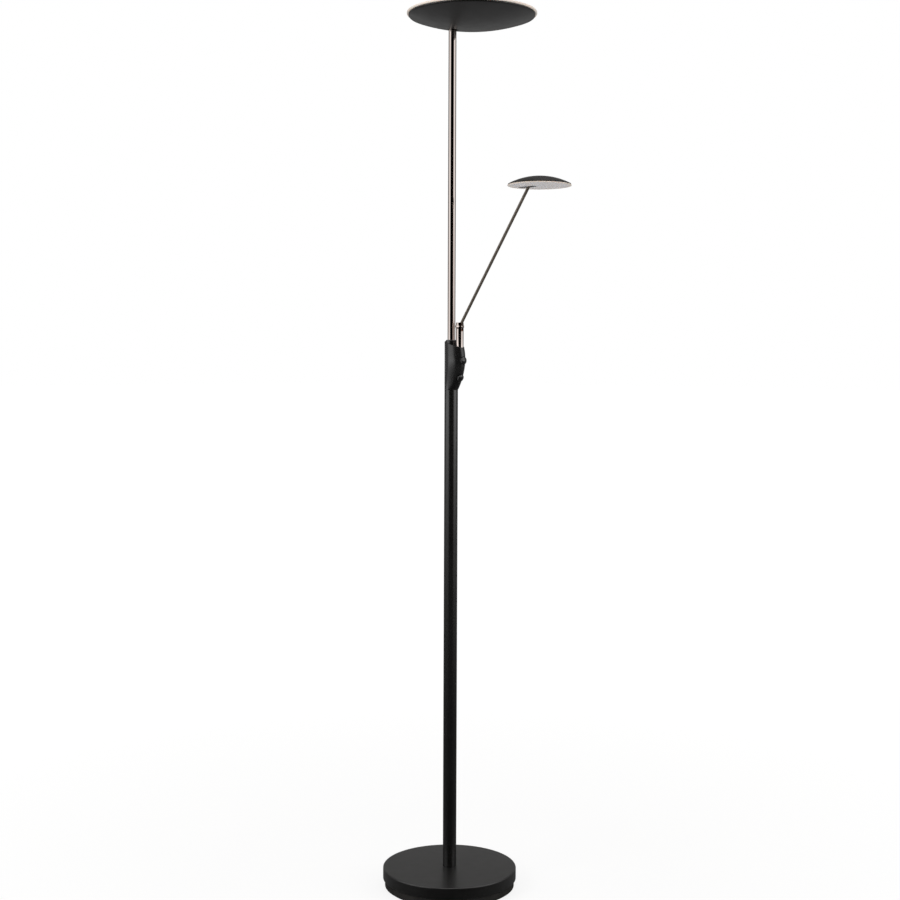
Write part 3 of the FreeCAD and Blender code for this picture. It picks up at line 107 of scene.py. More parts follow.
class Shader:
    # a short way to add nodes to one material and join them
    def __init__(self, name):
        self.material = emptyMaterial(name)
        self.tree = self.material.node_tree
        self.surface = self.add("ShaderNodeBsdfPrincipled")
        self.join(self.surface, 0, self.add("ShaderNodeOutputMaterial"), "Surface")
        self.place = self.add("ShaderNodeTexCoord")

    def add(self, kind, **sockets):
        return newNode(self.tree, kind, **sockets)

    def join(self, *link):
        joinNodes(self.tree, link)

    def noise(self, scale, detail=3, stretch=(1, 1, 1), rough=0.55):
        # noise whose grains are longer along an axis where stretch is below 1
        spread = self.add("ShaderNodeMapping", Scale=stretch)
        self.join(self.place, "Object", spread, "Vector")
        grain = self.add("ShaderNodeTexNoise", Scale=scale, Detail=detail, Roughness=rough)
        self.join(spread, 0, grain, "Vector")
        return grain

    def colours(self, grain, low, high):
        # the grain's value turned into a colour between low and high
        ramp = self.add("ShaderNodeValToRGB")
        for end, position, colour in zip(ramp.color_ramp.elements, grainEnds["colour"], (low, high)):
            end.position = position
            end.color = (*colour, 1)
        self.join(grain, 0, ramp, "Fac")
        self.join(ramp, 0, self.surface, "Base Color")

    def roughness(self, grain, ends):
        # the grain's value turned into a roughness between both ends
        start, stop = grainEnds["rough"]
        spread = self.add("ShaderNodeMapRange", From_Min=start, From_Max=stop, To_Min=ends[0], To_Max=ends[1])
        self.join(grain, 0, spread, "Value")
        self.join(spread, 0, self.surface, "Roughness")

    def bump(self, *layers):
        # each layer is (grain, strength, height in metres), one laid over the other
        last = None
        for grain, strength, height in layers:
            layer = self.add("ShaderNodeBump", Strength=strength, Distance=height)
            self.join(grain, 0, layer, "Height")
            if last:
                self.join(last, 0, layer, "Normal")
            last = layer
        self.join(last, 0, self.surface, "Normal")

    def fix(self, **sockets):
        # constants on the surface's own sockets, as the last step
        for key, value in sockets.items():
            self.surface.inputs[key.replace("_", " ")].default_value = value
        return self.material


def satinPaint(name, low, high, rough, specular):
    # baked powder coat: slow drift of tone, fine orange peel and finer grit
    s = Shader(name)
    peel = s.noise(420, 2)
    grit = s.noise(2600, 4)
    s.colours(s.noise(9, 4), low, high)
    s.roughness(s.noise(38, 5), rough)
    s.bump((peel, 0.03, 0.0003), (grit, 0.04, 0.0001))
    return s.fix(Specular_IOR_Level=specular)


def polishedTube(name, low, high, rough):
    # plated tube: fine drawing lines along the height and faint hazy patches
    s = Shader(name)
    lines = s.noise(900, 3, (1, 1, 0.004))
    s.colours(s.noise(24, 4, (1, 1, 0.25)), low, high)
    s.roughness(s.noise(60, 5, (1, 1, 0.2)), rough)
    s.bump((lines, 0.004, 0.0001))
    return s.fix(Metallic=1.0)


def mouldedPlastic(name, low, high, rough, specular, grain):
    # spark-eroded moulding texture with a slow drift in sheen
    s = Shader(name)
    spark = s.noise(grain, 5, rough=0.7)
    s.colours(s.noise(22, 4), low, high)
    s.roughness(s.noise(70, 5), rough)
    s.bump((spark, 0.07, 0.0002))
    return s.fix(Specular_IOR_Level=specular)


def opalAcrylic(name, low, high, rough, depth):
    # frosted acrylic: light goes up to a few millimetres in, faint clouds and a fine etched skin
    s = Shader(name)
    s.colours(s.noise(14, 3), low, high)
    s.roughness(s.noise(50, 4), rough)
    s.bump((s.noise(1800, 3), 0.12, 0.0002))
    return s.fix(Subsurface_Weight=0.25, Subsurface_Scale=depth, Subsurface_Radius=(1.0, 0.82, 0.68),
                 Coat_Weight=0.12, Coat_Roughness=0.35)


def turnedMetal(name, low, high, rough, stretch, metallic=1.0):
    # machined or rolled metal: streaks along one way, small stains, slight waviness
    s = Shader(name)
    streaks = s.noise(700, 4, stretch)
    s.colours(s.noise(55, 5), low, high)
    s.roughness(streaks, rough)
    s.bump((streaks, 0.12, 0.00015), (s.noise(160, 3), 0.08, 0.0003))
    return s.fix(Metallic=metallic)


def castSurface(name, low, high):
    # sand-cast iron under primer: pits of two sizes
    s = Shader(name)
    pits = s.noise(380, 6, rough=0.75)
    s.colours(s.noise(30, 5), low, high)
    s.roughness(s.noise(90, 4), (0.6, 0.85))
    s.bump((pits, 0.5, 0.0006), (s.noise(1500, 3), 0.3, 0.0002))
    return s.fix(Specular_IOR_Level=0.25)


def foamCells(name, low, high):
    # closed-cell foam: round cells whose rims stand up
    s = Shader(name)
    cells = s.add("ShaderNodeTexVoronoi", Scale=900)
    s.join(s.place, "Object", cells, "Vector")
    s.colours(s.noise(60, 3), low, high)
    s.roughness(s.noise(120, 3), (0.8, 0.95))
    s.bump((cells, 0.4, 0.0004))
    return s.fix(Specular_IOR_Level=0.2)


def solderMask(name, low, high, rough):
    # lacquer over glass cloth, whose threads show faintly as wavy bands
    s = Shader(name)
    weave = s.add("ShaderNodeTexWave", Scale=420, Distortion=1.5)
    s.join(s.place, "Object", weave, "Vector")
    s.colours(s.noise(120, 4), low, high)
    s.roughness(s.noise(200, 3), rough)
    s.bump((weave, 0.08, 0.0001))
    return s.fix(Coat_Weight=0.3)


# a finish has a name, its darkest and lightest colour, and what else its maker takes, such as roughness
finishes = {
    "foot_pad": foamCells("feltGreyFoam", (0.03, 0.03, 0.03), (0.05, 0.05, 0.05)),
    "cast_weight": castSurface("primedCasting", (0.016, 0.015, 0.014), (0.028, 0.026, 0.024)),
    "black_satin_metal": satinPaint("satinBlackCoat", (0.0050, 0.0047, 0.0045), (0.0075, 0.0071, 0.0068),
                                    (0.235, 0.26), 0.95),
    "base_coat": satinPaint("satinBlackBase", (0.0050, 0.0046, 0.0045), (0.0075, 0.0070, 0.0068),
                            (0.33, 0.37), 0.93),
    "dish_coat": satinPaint("satinBlackDish", (0.0055, 0.0051, 0.0050), (0.008, 0.0075, 0.0073),
                            (0.38, 0.44), 0.95),
    "black_rubber": mouldedPlastic("blackRubber", (0.012, 0.012, 0.012), (0.02, 0.02, 0.02),
                                   (0.6, 0.75), 0.3, 900),
    "zinc_steel": turnedMetal("zincPlatedSteel", (0.52, 0.53, 0.52), (0.66, 0.66, 0.62),
                              (0.25, 0.42), (1, 1, 0.1)),
    # painted reflection: the chrome's base colour is tinted rose-beige for the warm surroundings it reflects
    "chrome_tube": polishedTube("chromeWithPaintedWarmReflection", (0.70, 0.61, 0.565), (0.76, 0.68, 0.635), (0.035, 0.07)),
    "black_plastic": mouldedPlastic("housingPlastic", (0.0055, 0.0053, 0.0055), (0.008, 0.0078, 0.008),
                                    (0.24, 0.30), 0.95, 1500),
    "knob_plastic": mouldedPlastic("knobPlastic", (0.006, 0.0058, 0.006), (0.009, 0.0088, 0.009),
                                   (0.12, 0.17), 1.0, 2200),
    "circuit_green": solderMask("greenSolderMask", (0.012, 0.07, 0.025), (0.02, 0.10, 0.04), (0.3, 0.45)),
    "pot_case": mouldedPlastic("bluePotCase", (0.02, 0.05, 0.13), (0.03, 0.07, 0.17),
                               (0.4, 0.5), 0.4, 1400),
    "brass_bush": turnedMetal("turnedBrass", (0.55, 0.38, 0.13), (0.68, 0.48, 0.18),
                              (0.2, 0.35), (0.2, 0.2, 1)),
    "nylon": opalAcrylic("whiteNylon", (0.70, 0.69, 0.65), (0.78, 0.77, 0.73), (0.4, 0.55), 0.001),
    "arm_finish": turnedMetal("darkNickelArm", (0.20, 0.17, 0.14), (0.25, 0.215, 0.178),
                              (0.36, 0.46), (1, 1, 0.05), 0.7),
    # the rings' own opal white, tinted peach as a painted reflection of warm surroundings
    "opal_ring": opalAcrylic("opalWithPaintedWarmReflection", (0.88, 0.77, 0.68), (0.94, 0.84, 0.76), (0.22, 0.34), 0.003),
    "opal_cover": opalAcrylic("opalCover", (0.84, 0.80, 0.805), (0.89, 0.85, 0.855), (0.42, 0.55), 0.004),
    "heat_plate": turnedMetal("millAluminium", (0.58, 0.58, 0.59), (0.70, 0.70, 0.71),
                              (0.3, 0.45), (1, 0.05, 1)),
    "led_board": solderMask("whiteSolderMask", (0.74, 0.74, 0.71), (0.80, 0.80, 0.77), (0.3, 0.4)),
    "led_chip": opalAcrylic("phosphor", (0.80, 0.66, 0.14), (0.86, 0.72, 0.20), (0.3, 0.45), 0.0005),
    "driver_case": mouldedPlastic("driverCase", (0.62, 0.62, 0.59), (0.70, 0.70, 0.67),
                                  (0.4, 0.5), 0.4, 1200),
}
slots = {row["node"]: row["material_slot"] for row in frame["record"]["subparts"]}
for nodeName, cadNode in frame["nodes"].items():
    cadNode.data.materials.clear()
    cadNode.data.materials.append(finishes[slots[nodeName]])
print("stage: materials")

# Shaping: grids of points in millimetres, made into closed meshes
weld = {"near": 2e-7, "thin": 1e-7}  # metres within which points are merged and faces count as empty


def softStep(value, low, high):
    # 0 below low, 1 above high and the smooth cubic 3tt - 2ttt between them
    t = np.clip((value - low) / (high - low), 0, 1)
    return t * t * (3 - 2 * t)


def roundedOutline(corners, rounds, steps, lead=0.25):
    # every corner of a closed (radius, height) outline becomes an arc. Its centre lies on the corner's
    # bisector, round / sin(half the corner) away, and it runs between the two touching points. On both sides
    # it has a straight lead, a share of the round, so that the flats beside it stay flat
    p = np.array(corners, float)
    r = np.array(rounds, float)[:, None]
    back = np.roll(p, 1, 0) - p
    fore = np.roll(p, -1, 0) - p
    back /= np.linalg.norm(back, axis=1, keepdims=True)
    fore /= np.linalg.norm(fore, axis=1, keepdims=True)
    half = np.arccos(np.clip((back * fore).sum(1, keepdims=True), -1, 1)) / 2
    middle = back + fore
    middle /= np.maximum(np.linalg.norm(middle, axis=1, keepdims=True), 1e-9)
    centre = p + middle * r / np.maximum(np.sin(half), 1e-6)
    touch = r / np.tan(half)
    first = p + back * touch - centre
    last = p + fore * touch - centre
    sweep = np.pi - 2 * half
    t = np.linspace(0, 1, steps)[None, :, None]
    w = sweep[:, :, None]
    arc = (first[:, None] * np.sin((1 - t) * w) + last[:, None] * np.sin(t * w)) / np.maximum(np.sin(w), 1e-6)
    start = (p + back * (touch + r * lead))[:, None]
    end = (p + fore * (touch + r * lead))[:, None]
    return np.concatenate([start, centre[:, None] + arc, end], 1).reshape(-1, 2)


def lathe(outline, around, axis=(0, 0, 1), at=(0, 0, 0)):
    # the outline turned about its axis: (radius cos a, radius sin a, height) in the axis's own frame
    a = np.arange(around) * 2 * np.pi / around
    z = np.array(axis, float)
    z /= np.linalg.norm(z)
    x = np.cross((0, 1, 0), z) if abs(z[1]) < 0.9 else np.array((1.0, 0, 0))
    x /= np.linalg.norm(x)
    y = np.cross(z, x)
    ring = np.cos(a)[:, None] * x + np.sin(a)[:, None] * y
    return np.array(at, float) + outline[:, None, :1] * ring[None] + outline[:, None, 1:] * z


def gridQuads(rows, cols):
    # the quads of a grid that closes both ways: each joins a point to the next in its row and column
    index = np.arange(rows * cols).reshape(rows, cols)
    right = np.roll(index, -1, 1)
    return np.stack([index, right, np.roll(right, -1, 0), np.roll(index, -1, 0)], -1).reshape(-1, 4)


def signedVolume(points, quads):
    # a sixth of the sum of corner triple products over the two halves of each quad
    a, b, c, d = (points[quads[:, k]] for k in range(4))
    return (np.cross(a, b) * c).sum() / 6 + (np.cross(a, c) * d).sum() / 6


def closedPiece(name, shells, body, slot, replaced, coat=None, sharp=32):
    # each shell is a grid of points that closes on itself both ways, and one that is inside out has its
    # quads turned round. The finish is the slot's, unless the piece has a coat of another name
    points, quads, base = [], [], 0
    for grid in shells:
        face = gridQuads(*grid.shape[:2])
        flat = grid.reshape(-1, 3)
        if signedVolume(flat - flat.mean(0), face) < 0:
            face = face[:, ::-1]
        points.append(flat)
        quads.append(face + base)
        base += len(flat)
    points = np.concatenate(points) * mm
    quads = np.concatenate(quads)
    mesh = bpy.data.meshes.new(name)
    mesh.vertices.add(len(points))
    mesh.vertices.foreach_set("co", points.ravel())
    mesh.loops.add(quads.size)
    mesh.loops.foreach_set("vertex_index", quads.ravel())
    mesh.polygons.add(len(quads))
    mesh.polygons.foreach_set("loop_start", np.arange(len(quads)) * 4)
    mesh.update(calc_edges=True)
    merged = bmesh.new()
    merged.from_mesh(mesh)
    bmesh.ops.remove_doubles(merged, verts=merged.verts, dist=weld["near"])
    bmesh.ops.dissolve_degenerate(merged, dist=weld["thin"], edges=merged.edges)
    merged.to_mesh(mesh)
    merged.free()
    mesh.shade_smooth()
    mesh.set_sharp_from_angle(angle=math.radians(sharp))
    mesh.materials.append(finishes[coat or slot])
    piece = addObject(name, mesh)
    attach(piece, body)
    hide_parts(*replaced)
    return piece


def slotLoop(left, right, halfWidth, angles):
    # a slot with round ends: the end's centre on the side that the angle points to, plus its radius that way
    middle = (left + right) / 2
    reach = (right - left) / 2 - halfWidth
    x = middle + np.sign(np.cos(angles)) * reach + halfWidth * np.cos(angles)
    return np.stack([x, halfWidth * np.sin(angles)], -1)


def loopFan(inner, outer, steps):
    # straight lines from each point of the inner loop to its partner on the outer one, at the given shares
    return inner[None] + (outer - inner)[None] * steps[:, None, None]


def withHeight(plan, height):
    # (x, y) points with a height each
    return np.concatenate([plan, height[..., None]], -1)


# The base's cover
coverSize = {"radius": 138.6, "top": 41.5, "bottom": 18, "wall": 1.5, "hole": 5.3, "edge": 2.6, "around": 320}


def makeBaseCover():
    # a turned cup, upside down: its outline goes out under the top, down inside the wall and up outside it
    s = coverSize
    inner = s["radius"] - s["wall"]
    under = s["top"] - s["wall"]
    outline = roundedOutline(
        [(s["hole"], under), (inner, under), (inner, s["bottom"]), (s["radius"], s["bottom"]),
         (s["radius"], s["top"]), (s["hole"], s["top"])],
        rounds=[0, 0.4, 0.35, 0.5, s["edge"], 0], steps=8)
    closedPiece("baseCover", [lathe(outline, s["around"])], "stand", "black_satin_metal", ["base_cover"],
                coat="base_coat")


makeBaseCover()
print("stage: base")

# The pole's two tubes, and the collar round the upper one
poleSize = {"lowerRadius": 14, "lowerBottom": 41.5, "lowerTop": 1035, "upperRadius": 8, "upperBottom": 1011,
            "upperTop": 1768, "wall": 1.2, "endRound": 0.35, "around": 96}
collarSize = {"radius": 12, "bore": 8.05, "foot": 1120, "top": 1137.5, "chamfer": 2, "slantHeight": 1130.28,
              "slantAngle": 16.2}


def makePoles():
    # each tube is a turned rectangle: the wall's thickness by the tube's length
    s = poleSize
    for part, slot in (("lower", "black_satin_metal"), ("upper", "chrome_tube")):
        radius, low, high = s[part + "Radius"], s[part + "Bottom"], s[part + "Top"]
        inner = radius - s["wall"]
        outline = roundedOutline([(inner, low), (radius, low), (radius, high), (inner, high)],
                                 rounds=[0, s["endRound"], s["endRound"], 0], steps=5)
        closedPiece(part + "Pole", [lathe(outline, s["around"])], "stand", slot, [part + "_pole"])


def makeCollar():
    # a turned ring whose foot follows the cap: height = slantHeight - x tan(slantAngle)
    s = collarSize
    outline = roundedOutline(
        [(s["bore"], s["foot"]), (s["radius"], s["foot"]), (s["radius"], s["top"] - s["chamfer"]),
         (s["radius"] - s["chamfer"], s["top"]), (s["bore"], s["top"])],
        rounds=[0, 0, 0.8, 0.7, 0.3], steps=5)
    grid = lathe(outline, poleSize["around"])
    slanted = s["slantHeight"] - grid[..., 0] * math.tan(math.radians(s["slantAngle"]))
    grid[..., 2] = np.where(np.isclose(grid[..., 2], s["foot"]), slanted, grid[..., 2])
    closedPiece("poleCollar", [grid], "stand", "black_plastic", ["pole_collar"])


makePoles()
makeCollar()
print("stage: poles")

# The control housing, in heights above its foot. A knob is (height, reach, tilt) of its recess's face
housingSize = {"foot": 1035, "heights": (0, 23.9, 41.4, 59.7, 85.4, 107),
               "reaches": (14.05, 26.6, 32.2, 34.9, 31.8, 26.7), "back": 14, "frontEdge": 13.3,
               "skin": {"taper": 0.1, "flank": 30}, "hollow": {"taper": 0.27, "flank": 20000},
               "slantHeight": 95.9, "slantAngle": 16.2, "wall": 2, "rimRound": 0.5, "lead": 0.15,
               "recess": 9, "recessDepth": 3.2, "recessEdge": 0.35, "recessLip": 0.3, "around": 11.6,
               "seatRadius": 10.6, "seatDepth": 5.4, "postAcross": 23.2, "postHole": 7.98, "postSeat": 83.4,
               "knobs": ((23.9, 26.6, 22.0), (59.7, 34.9, 3.5)), "recessTurns": 14, "topTurns": 12,
               "topGuess": 88.0, "upperRows": 9, "rimRows": 6, "downRows": 40, "mouthLip": 0.1,
               "seatStep": 0.01, "seatClear": 0.5, "hair": 0.005}
# the net on the housing's front: rows and columns at these offsets from a knob's axis, and more between knobs
recessRim = housingSize["recess"] + np.array([-0.01, 0, housingSize["recessEdge"]])
knobOffsets = np.concatenate([[0, 1.3, 2.6, 3.8, 4.8, 5.6, 6.3, 6.9, 7.5, 8.0, 8.5], recessRim,
                              [9.9, 10.4, 11.0, housingSize["around"]]])
halfColumns = np.concatenate([knobOffsets, [12.2, 12.8, housingSize["frontEdge"]]])
netY = np.concatenate([-halfColumns[:0:-1], halfColumns])
plainRows = [0, 0.3, 3, 6, 9, 38.6, 41.7, 44.9]
backShares = np.linspace(0, 1, 50)[1:-1]


def housingArcs(height, form):
    # the section is three kinds of arc that touch: a round back, a nose of radius back - taper (reach -
    # back), and between them on each side one wide flank arc. The flank's centre (px, py) is flank - back
    # from the pole's axis and flank - nose from the nose's centre. The reach is a curve of the fifth degree
    # in height through six stations
    s = housingSize
    reach = np.polyval(np.polyfit(s["heights"], s["reaches"], 5), height)
    nose = s["back"] - (reach - s["back"]) * form["taper"]
    centre = reach - nose
    toBack, toNose = form["flank"] - s["back"], form["flank"] - nose
    px = (toBack ** 2 - toNose ** 2 + centre ** 2) / (2 * centre)
    return nose, centre, px, np.sqrt(toBack ** 2 - px ** 2)


def housingFront(y, height, form, inset=0.0):
    # how far forward the section is at this y: on the nose's arc near the middle, on the flank's arc beyond
    nose, centre, px, py = housingArcs(height, form)
    onNose = centre + np.sqrt(np.maximum((nose - inset) ** 2 - y ** 2, 0))
    onFlank = px + np.sqrt(np.maximum((form["flank"] - inset) ** 2 - (np.abs(y) + py) ** 2, 0))
    return np.where(np.abs(y) <= (nose - inset) * py / (form["flank"] - nose), onNose, onFlank)


def housingBack(share, height, form, inset=0.0):
    # the points round the back, by the angle from one edge of the front to the other. The distance from the
    # axis is the flank's along that angle until the flank touches the round back, and the back's own after
    s = housingSize
    px, py = housingArcs(height, form)[2:]
    edge = s["frontEdge"] - inset
    start = np.arctan2(edge, housingFront(edge, height, form, inset))
    turn = start + (2 * np.pi - 2 * start) * share
    toFlank = px * np.cos(turn) - py * np.abs(np.sin(turn))
    away = toFlank + np.sqrt((form["flank"] - inset) ** 2 - px ** 2 - py ** 2 + toFlank ** 2)
    past = np.minimum(turn, 2 * np.pi - turn) > np.arctan2(py, -px)
    away = np.where(past, s["back"] - inset, away)
    return away * np.cos(turn), away * np.sin(turn)


def housingRing(height, inset, form):
    # one level row, or several: front points by y, then the round back by angle
    edge = housingSize["frontEdge"]
    y = netY * (edge - inset) / edge
    low = height[..., :len(netY)]
    front = np.stack([housingFront(y, low, form, inset), y + 0 * low, low], -1)
    high = height[..., len(netY):]
    backX, backY = housingBack(backShares, high, form, inset)
    return np.concatenate([front, np.stack([backX, backY, high], -1)], -2)


def sinkRecess(front, heights, knobHeight, reach, tilt):
    # near a knob the square net of rows and columns is bent into rings about the knob's axis: a net point
    # whose larger offset is c moves to radius c, and inside the recess its depth along the axis is the larger
    # of the skin's depth and the recess's. The skin's depth settles by going back to the skin each time
    s = housingSize
    sine, cosine = math.sin(math.radians(tilt)), math.cos(math.radians(tilt))
    y = np.repeat(netY[None], len(heights), 0)
    v = np.repeat((heights - knobHeight)[:, None], len(netY), 1)
    c = np.maximum(np.abs(y), np.abs(v))
    away = np.maximum(np.hypot(y, v), 1e-9)
    fade = softStep(s["around"] - c, 0, s["around"] - s["recess"] - s["recessEdge"])
    ringY = y + (y * c / away - y) * fade
    ringV = v + (v * c / away - v) * fade
    depth = np.zeros_like(c)
    for again in range(s["recessTurns"]):
        skin = housingFront(ringY, knobHeight + ringV * cosine + depth * sine, s["skin"])
        depth = (reach + ringV * sine - skin) / cosine
    rim = np.maximum(depth, np.minimum(depth + s["recessLip"], s["recessDepth"]))
    sunk = np.where(c < s["recess"] - s["hair"], np.maximum(depth, s["recessDepth"]),
                    np.where(c < s["recess"] + s["hair"], rim, depth))
    inX = reach + ringV * sine - sunk * cosine
    inZ = knobHeight + ringV * cosine + sunk * sine
    outZ = inZ * fade + (knobHeight + ringV) * (1 - fade)
    outX = housingFront(ringY, outZ, s["skin"])
    near = c < s["around"] - 1e-6
    full = c <= s["recess"] + s["recessEdge"] + 1e-6
    front[..., 0] = np.where(full, inX, np.where(near, outX, front[..., 0]))
    front[..., 1] = np.where(near, ringY, front[..., 1])
    front[..., 2] = np.where(full, inZ, np.where(near, outZ, front[..., 2]))


def trimHollow(core):
    # the hollow's front is drawn back to each dimmer's seat, which is square to the knob's axis, and above
    # the post's seat the points inside the post's hole are pushed out to its radius
    s = housingSize
    for knobHeight, reach, tilt in s["knobs"]:
        t = math.radians(tilt)
        along = (core[..., 2] - knobHeight) * math.cos(t) + (core[..., 0] - reach) * math.sin(t)
        inSeat = (np.hypot(core[..., 1], along) < s["seatRadius"]) & (core[..., 0] > 0)
        limit = reach + ((core[..., 2] - knobHeight) * math.sin(t) - s["seatDepth"]) / math.cos(t)
        core[..., 0] = np.where(inSeat, np.minimum(core[..., 0], limit), core[..., 0])
    post = np.array((s["postAcross"], 0))
    fromPost = core[..., :2] - post
    gap = np.linalg.norm(fromPost, axis=-1)
    push = (core[..., 2] > s["postSeat"]) & (gap < s["postHole"])
    pushed = fromPost * (s["postHole"] / np.maximum(gap, 1e-6))[..., None] + post
    core[..., :2] = np.where(push[..., None], pushed, core[..., :2])


def makeHousing():
    # rows go up the skin, over the slanted rim by a quarter turn, and down the hollow. Columns go round it.
    # The slanted top settles from a level one: height = slantHeight - x tan(slantAngle), again and again
    s = housingSize
    skin, hollow, wall, r = s["skin"], s["hollow"], s["wall"], s["rimRound"]
    both = np.concatenate([-knobOffsets[:0:-1], knobOffsets])
    heights = np.sort(np.concatenate([plainRows] + [knob[0] + both for knob in s["knobs"]]))
    top = np.full(len(netY) + len(backShares), s["topGuess"])
    slant = math.tan(math.radians(s["slantAngle"]))
    for again in range(s["topTurns"]):
        top = s["slantHeight"] - housingRing(top, 0, skin)[:, 0] * slant
    lower = housingRing(np.repeat(heights[:, None], len(top), 1), 0, skin)
    for knob in s["knobs"]:
        sinkRecess(lower[:, :len(netY)], heights, *knob)
    steps = np.linspace(0, 1, s["upperRows"])[1:, None]
    upper = housingRing(heights[-1] + (top - r - s["lead"] - heights[-1]) * steps, 0, skin)
    rim = [housingRing(top - r + r * math.sin(a), r - r * math.cos(a), skin)[None]
           for a in np.linspace(0, np.pi / 2, s["rimRows"])]
    mouth = [housingRing(top, wall - s["mouthLip"], hollow)[None],
             housingRing(top - s["lead"], wall, hollow)[None]]
    seatRows = s["postSeat"] + np.array([s["seatStep"], -s["seatStep"]])[:, None] + 0 * top
    downRows = (s["postSeat"] - s["seatClear"]) * np.linspace(1, 0, s["downRows"])[:, None] + 0 * top
    core = np.concatenate(mouth + [housingRing(seatRows, wall, hollow), housingRing(downRows, wall, hollow)])
    trimHollow(core)
    shell = np.concatenate([lower, upper] + rim + [core])
    shell[..., 2] += s["foot"]
    closedPiece("controlHousing", [shell], "stand", "black_plastic", ["control_housing"], sharp=38)


knobSize = {"radius": 7.9, "rim": 3.6, "edge": 0.6, "dome": 2.0, "wall": 1.2, "floorGap": 0.4, "grip": 1.55,
            "gripEnd": 0.8, "nutRoom": 2.0, "foot": 0.25, "skirtRow": 1.2, "ribs": 40, "ribDepth": 0.28,
            "ribEnd": 0.1, "perRib": 8, "edgeSteps": 6, "domeSteps": 14}


def makeKnobs():
    # a turned cap whose skirt is drawn in by ribDepth times the square of (half + half cos of ribs times the
    # angle), and whose top is a ball's cap. It is then stood on the knob's own axis
    s = knobSize
    top = s["radius"] - s["edge"]
    ball = (top ** 2 + s["dome"] ** 2) / (2 * s["dome"])
    skirt = s["radius"] - s["wall"]
    a = np.linspace(0, np.pi / 2, s["edgeSteps"])
    b = np.linspace(math.asin(top / ball), 0, s["domeSteps"])[1:]
    outline = np.concatenate([
        [(s["radius"] - s["foot"], 0), (s["radius"], s["foot"]), (s["radius"], s["skirtRow"])],
        np.stack([top + s["edge"] * np.cos(a), s["rim"] - s["edge"] + s["edge"] * np.sin(a)], -1),
        np.stack([ball * np.sin(b), s["rim"] + s["dome"] - ball * (1 - np.cos(b))], -1),
        [(0, s["rim"] + s["gripEnd"]), (s["grip"], s["rim"] + s["gripEnd"]), (s["grip"], s["nutRoom"]),
         (skirt, s["nutRoom"]), (skirt, 0)]])
    around = s["ribs"] * s["perRib"]
    turn = np.arange(around) * 2 * np.pi / around
    strength = np.clip((outline[:, 0] - top + s["ribEnd"]) / s["edge"], 0, 1)
    drawn = s["ribDepth"] * strength[:, None] * (0.5 + 0.5 * np.cos(s["ribs"] * turn)) ** 2
    for name, (height, reach, tilt) in zip(("reading", "main"), housingSize["knobs"]):
        t = math.radians(tilt)
        axis = np.array((math.cos(t), 0, -math.sin(t)))
        face = np.array((reach, 0, housingSize["foot"] + height))
        at = face + axis * (s["floorGap"] - housingSize["recessDepth"])
        grid = lathe(outline, around, axis, at)
        spoke = grid - (at + outline[:, None, 1:] * axis)
        length = np.maximum(np.linalg.norm(spoke, axis=-1), 1e-9)
        grid = grid - spoke * (drawn / length)[..., None]
        closedPiece(name + "Knob", [grid], name + "_knob", "knob_plastic", [name + "_knob"], sharp=40)


makeHousing()
makeKnobs()
print("stage: housing and knobs")

# The main head: its dish, with four bosses for the heat plate's screws, its ring and its opal cover
dishSize = {"centre": 53, "apex": 1760, "capRadius": 125, "sag": 22, "corner": 3, "depth": 26, "wall": 1.5,
            "slotLeft": -10.9, "slotRight": 13.6, "slotHalf": 8.8, "around": 288, "cornerSteps": 8,
            "slotShares": (0, 0.004), "fanStart": 0.012, "fanSteps": 40, "fanPower": 1.15,
            "bosses": 4, "bossCircle": 80, "bossRadius": 4, "bossBore": 1.3, "bossTop": 1782.6,
            "bossFloor": 1}


def makeDish():
    # a ball's cap: height = apex + ball - sqrt(ball^2 - distance^2), then a corner arc and an upright rim.
    # Its grid fans out from the pole's slot to the rim, and comes back inside, drawn in by the wall
    s = dishSize
    ball = (s["capRadius"] ** 2 + s["sag"] ** 2) / (2 * s["sag"])
    slope = math.asin(s["capRadius"] / ball)
    a = (np.arange(s["around"]) + 0.5) * 2 * np.pi / s["around"]
    ring = np.stack([np.cos(a), np.sin(a)], -1)
    centre = np.array((s["centre"], 0.0))

    def skin(inset):
        ballHere = ball - inset
        capHere = s["capRadius"] - inset * math.sin(slope)
        cornerHere = s["corner"] - inset
        hole = slotLoop(s["slotLeft"], s["slotRight"], s["slotHalf"], a)
        fan = np.linspace(s["fanStart"], 1, s["fanSteps"]) ** s["fanPower"]
        plan = loopFan(hole, centre + capHere * ring, np.concatenate([s["slotShares"], fan]))
        far = np.linalg.norm(plan - centre, axis=-1)
        cap = withHeight(plan, s["apex"] + inset + ballHere - np.sqrt(ballHere ** 2 - far ** 2))
        turn = np.linspace(slope, np.pi / 2, s["cornerSteps"])[1:]
        mid = s["capRadius"] - s["corner"] * math.sin(slope)
        level = s["apex"] + s["sag"] + s["corner"] * math.cos(slope)
        radius = np.concatenate([mid + cornerHere * np.sin(turn), [mid + cornerHere]])
        height = np.concatenate([level - cornerHere * np.cos(turn), [s["apex"] + s["depth"]]])
        wall = withHeight(centre + radius[:, None, None] * ring, height[:, None] + 0 * a)
        return np.concatenate([cap, wall])

    shells = [np.concatenate([skin(0), skin(s["wall"])[::-1]])]
    foot = s["apex"] + ball - math.sqrt(ball ** 2 - s["bossCircle"] ** 2) + s["bossFloor"]
    floor = foot + s["bossFloor"]
    boss = roundedOutline([(0, foot), (s["bossRadius"], foot), (s["bossRadius"], s["bossTop"]),
                           (s["bossBore"], s["bossTop"]), (s["bossBore"], floor), (0, floor)],
                          rounds=[0, 0, 0.3, 0, 0, 0], steps=4)
    for turn in np.arange(0.5, s["bosses"]) * 2 * math.pi / s["bosses"]:
        at = (s["centre"] + s["bossCircle"] * math.cos(turn), s["bossCircle"] * math.sin(turn), 0)
        shells.append(lathe(boss, around=32, at=at))
    closedPiece("mainDish", shells, "main_head", "black_satin_metal", ["main_dish"], coat="dish_coat")


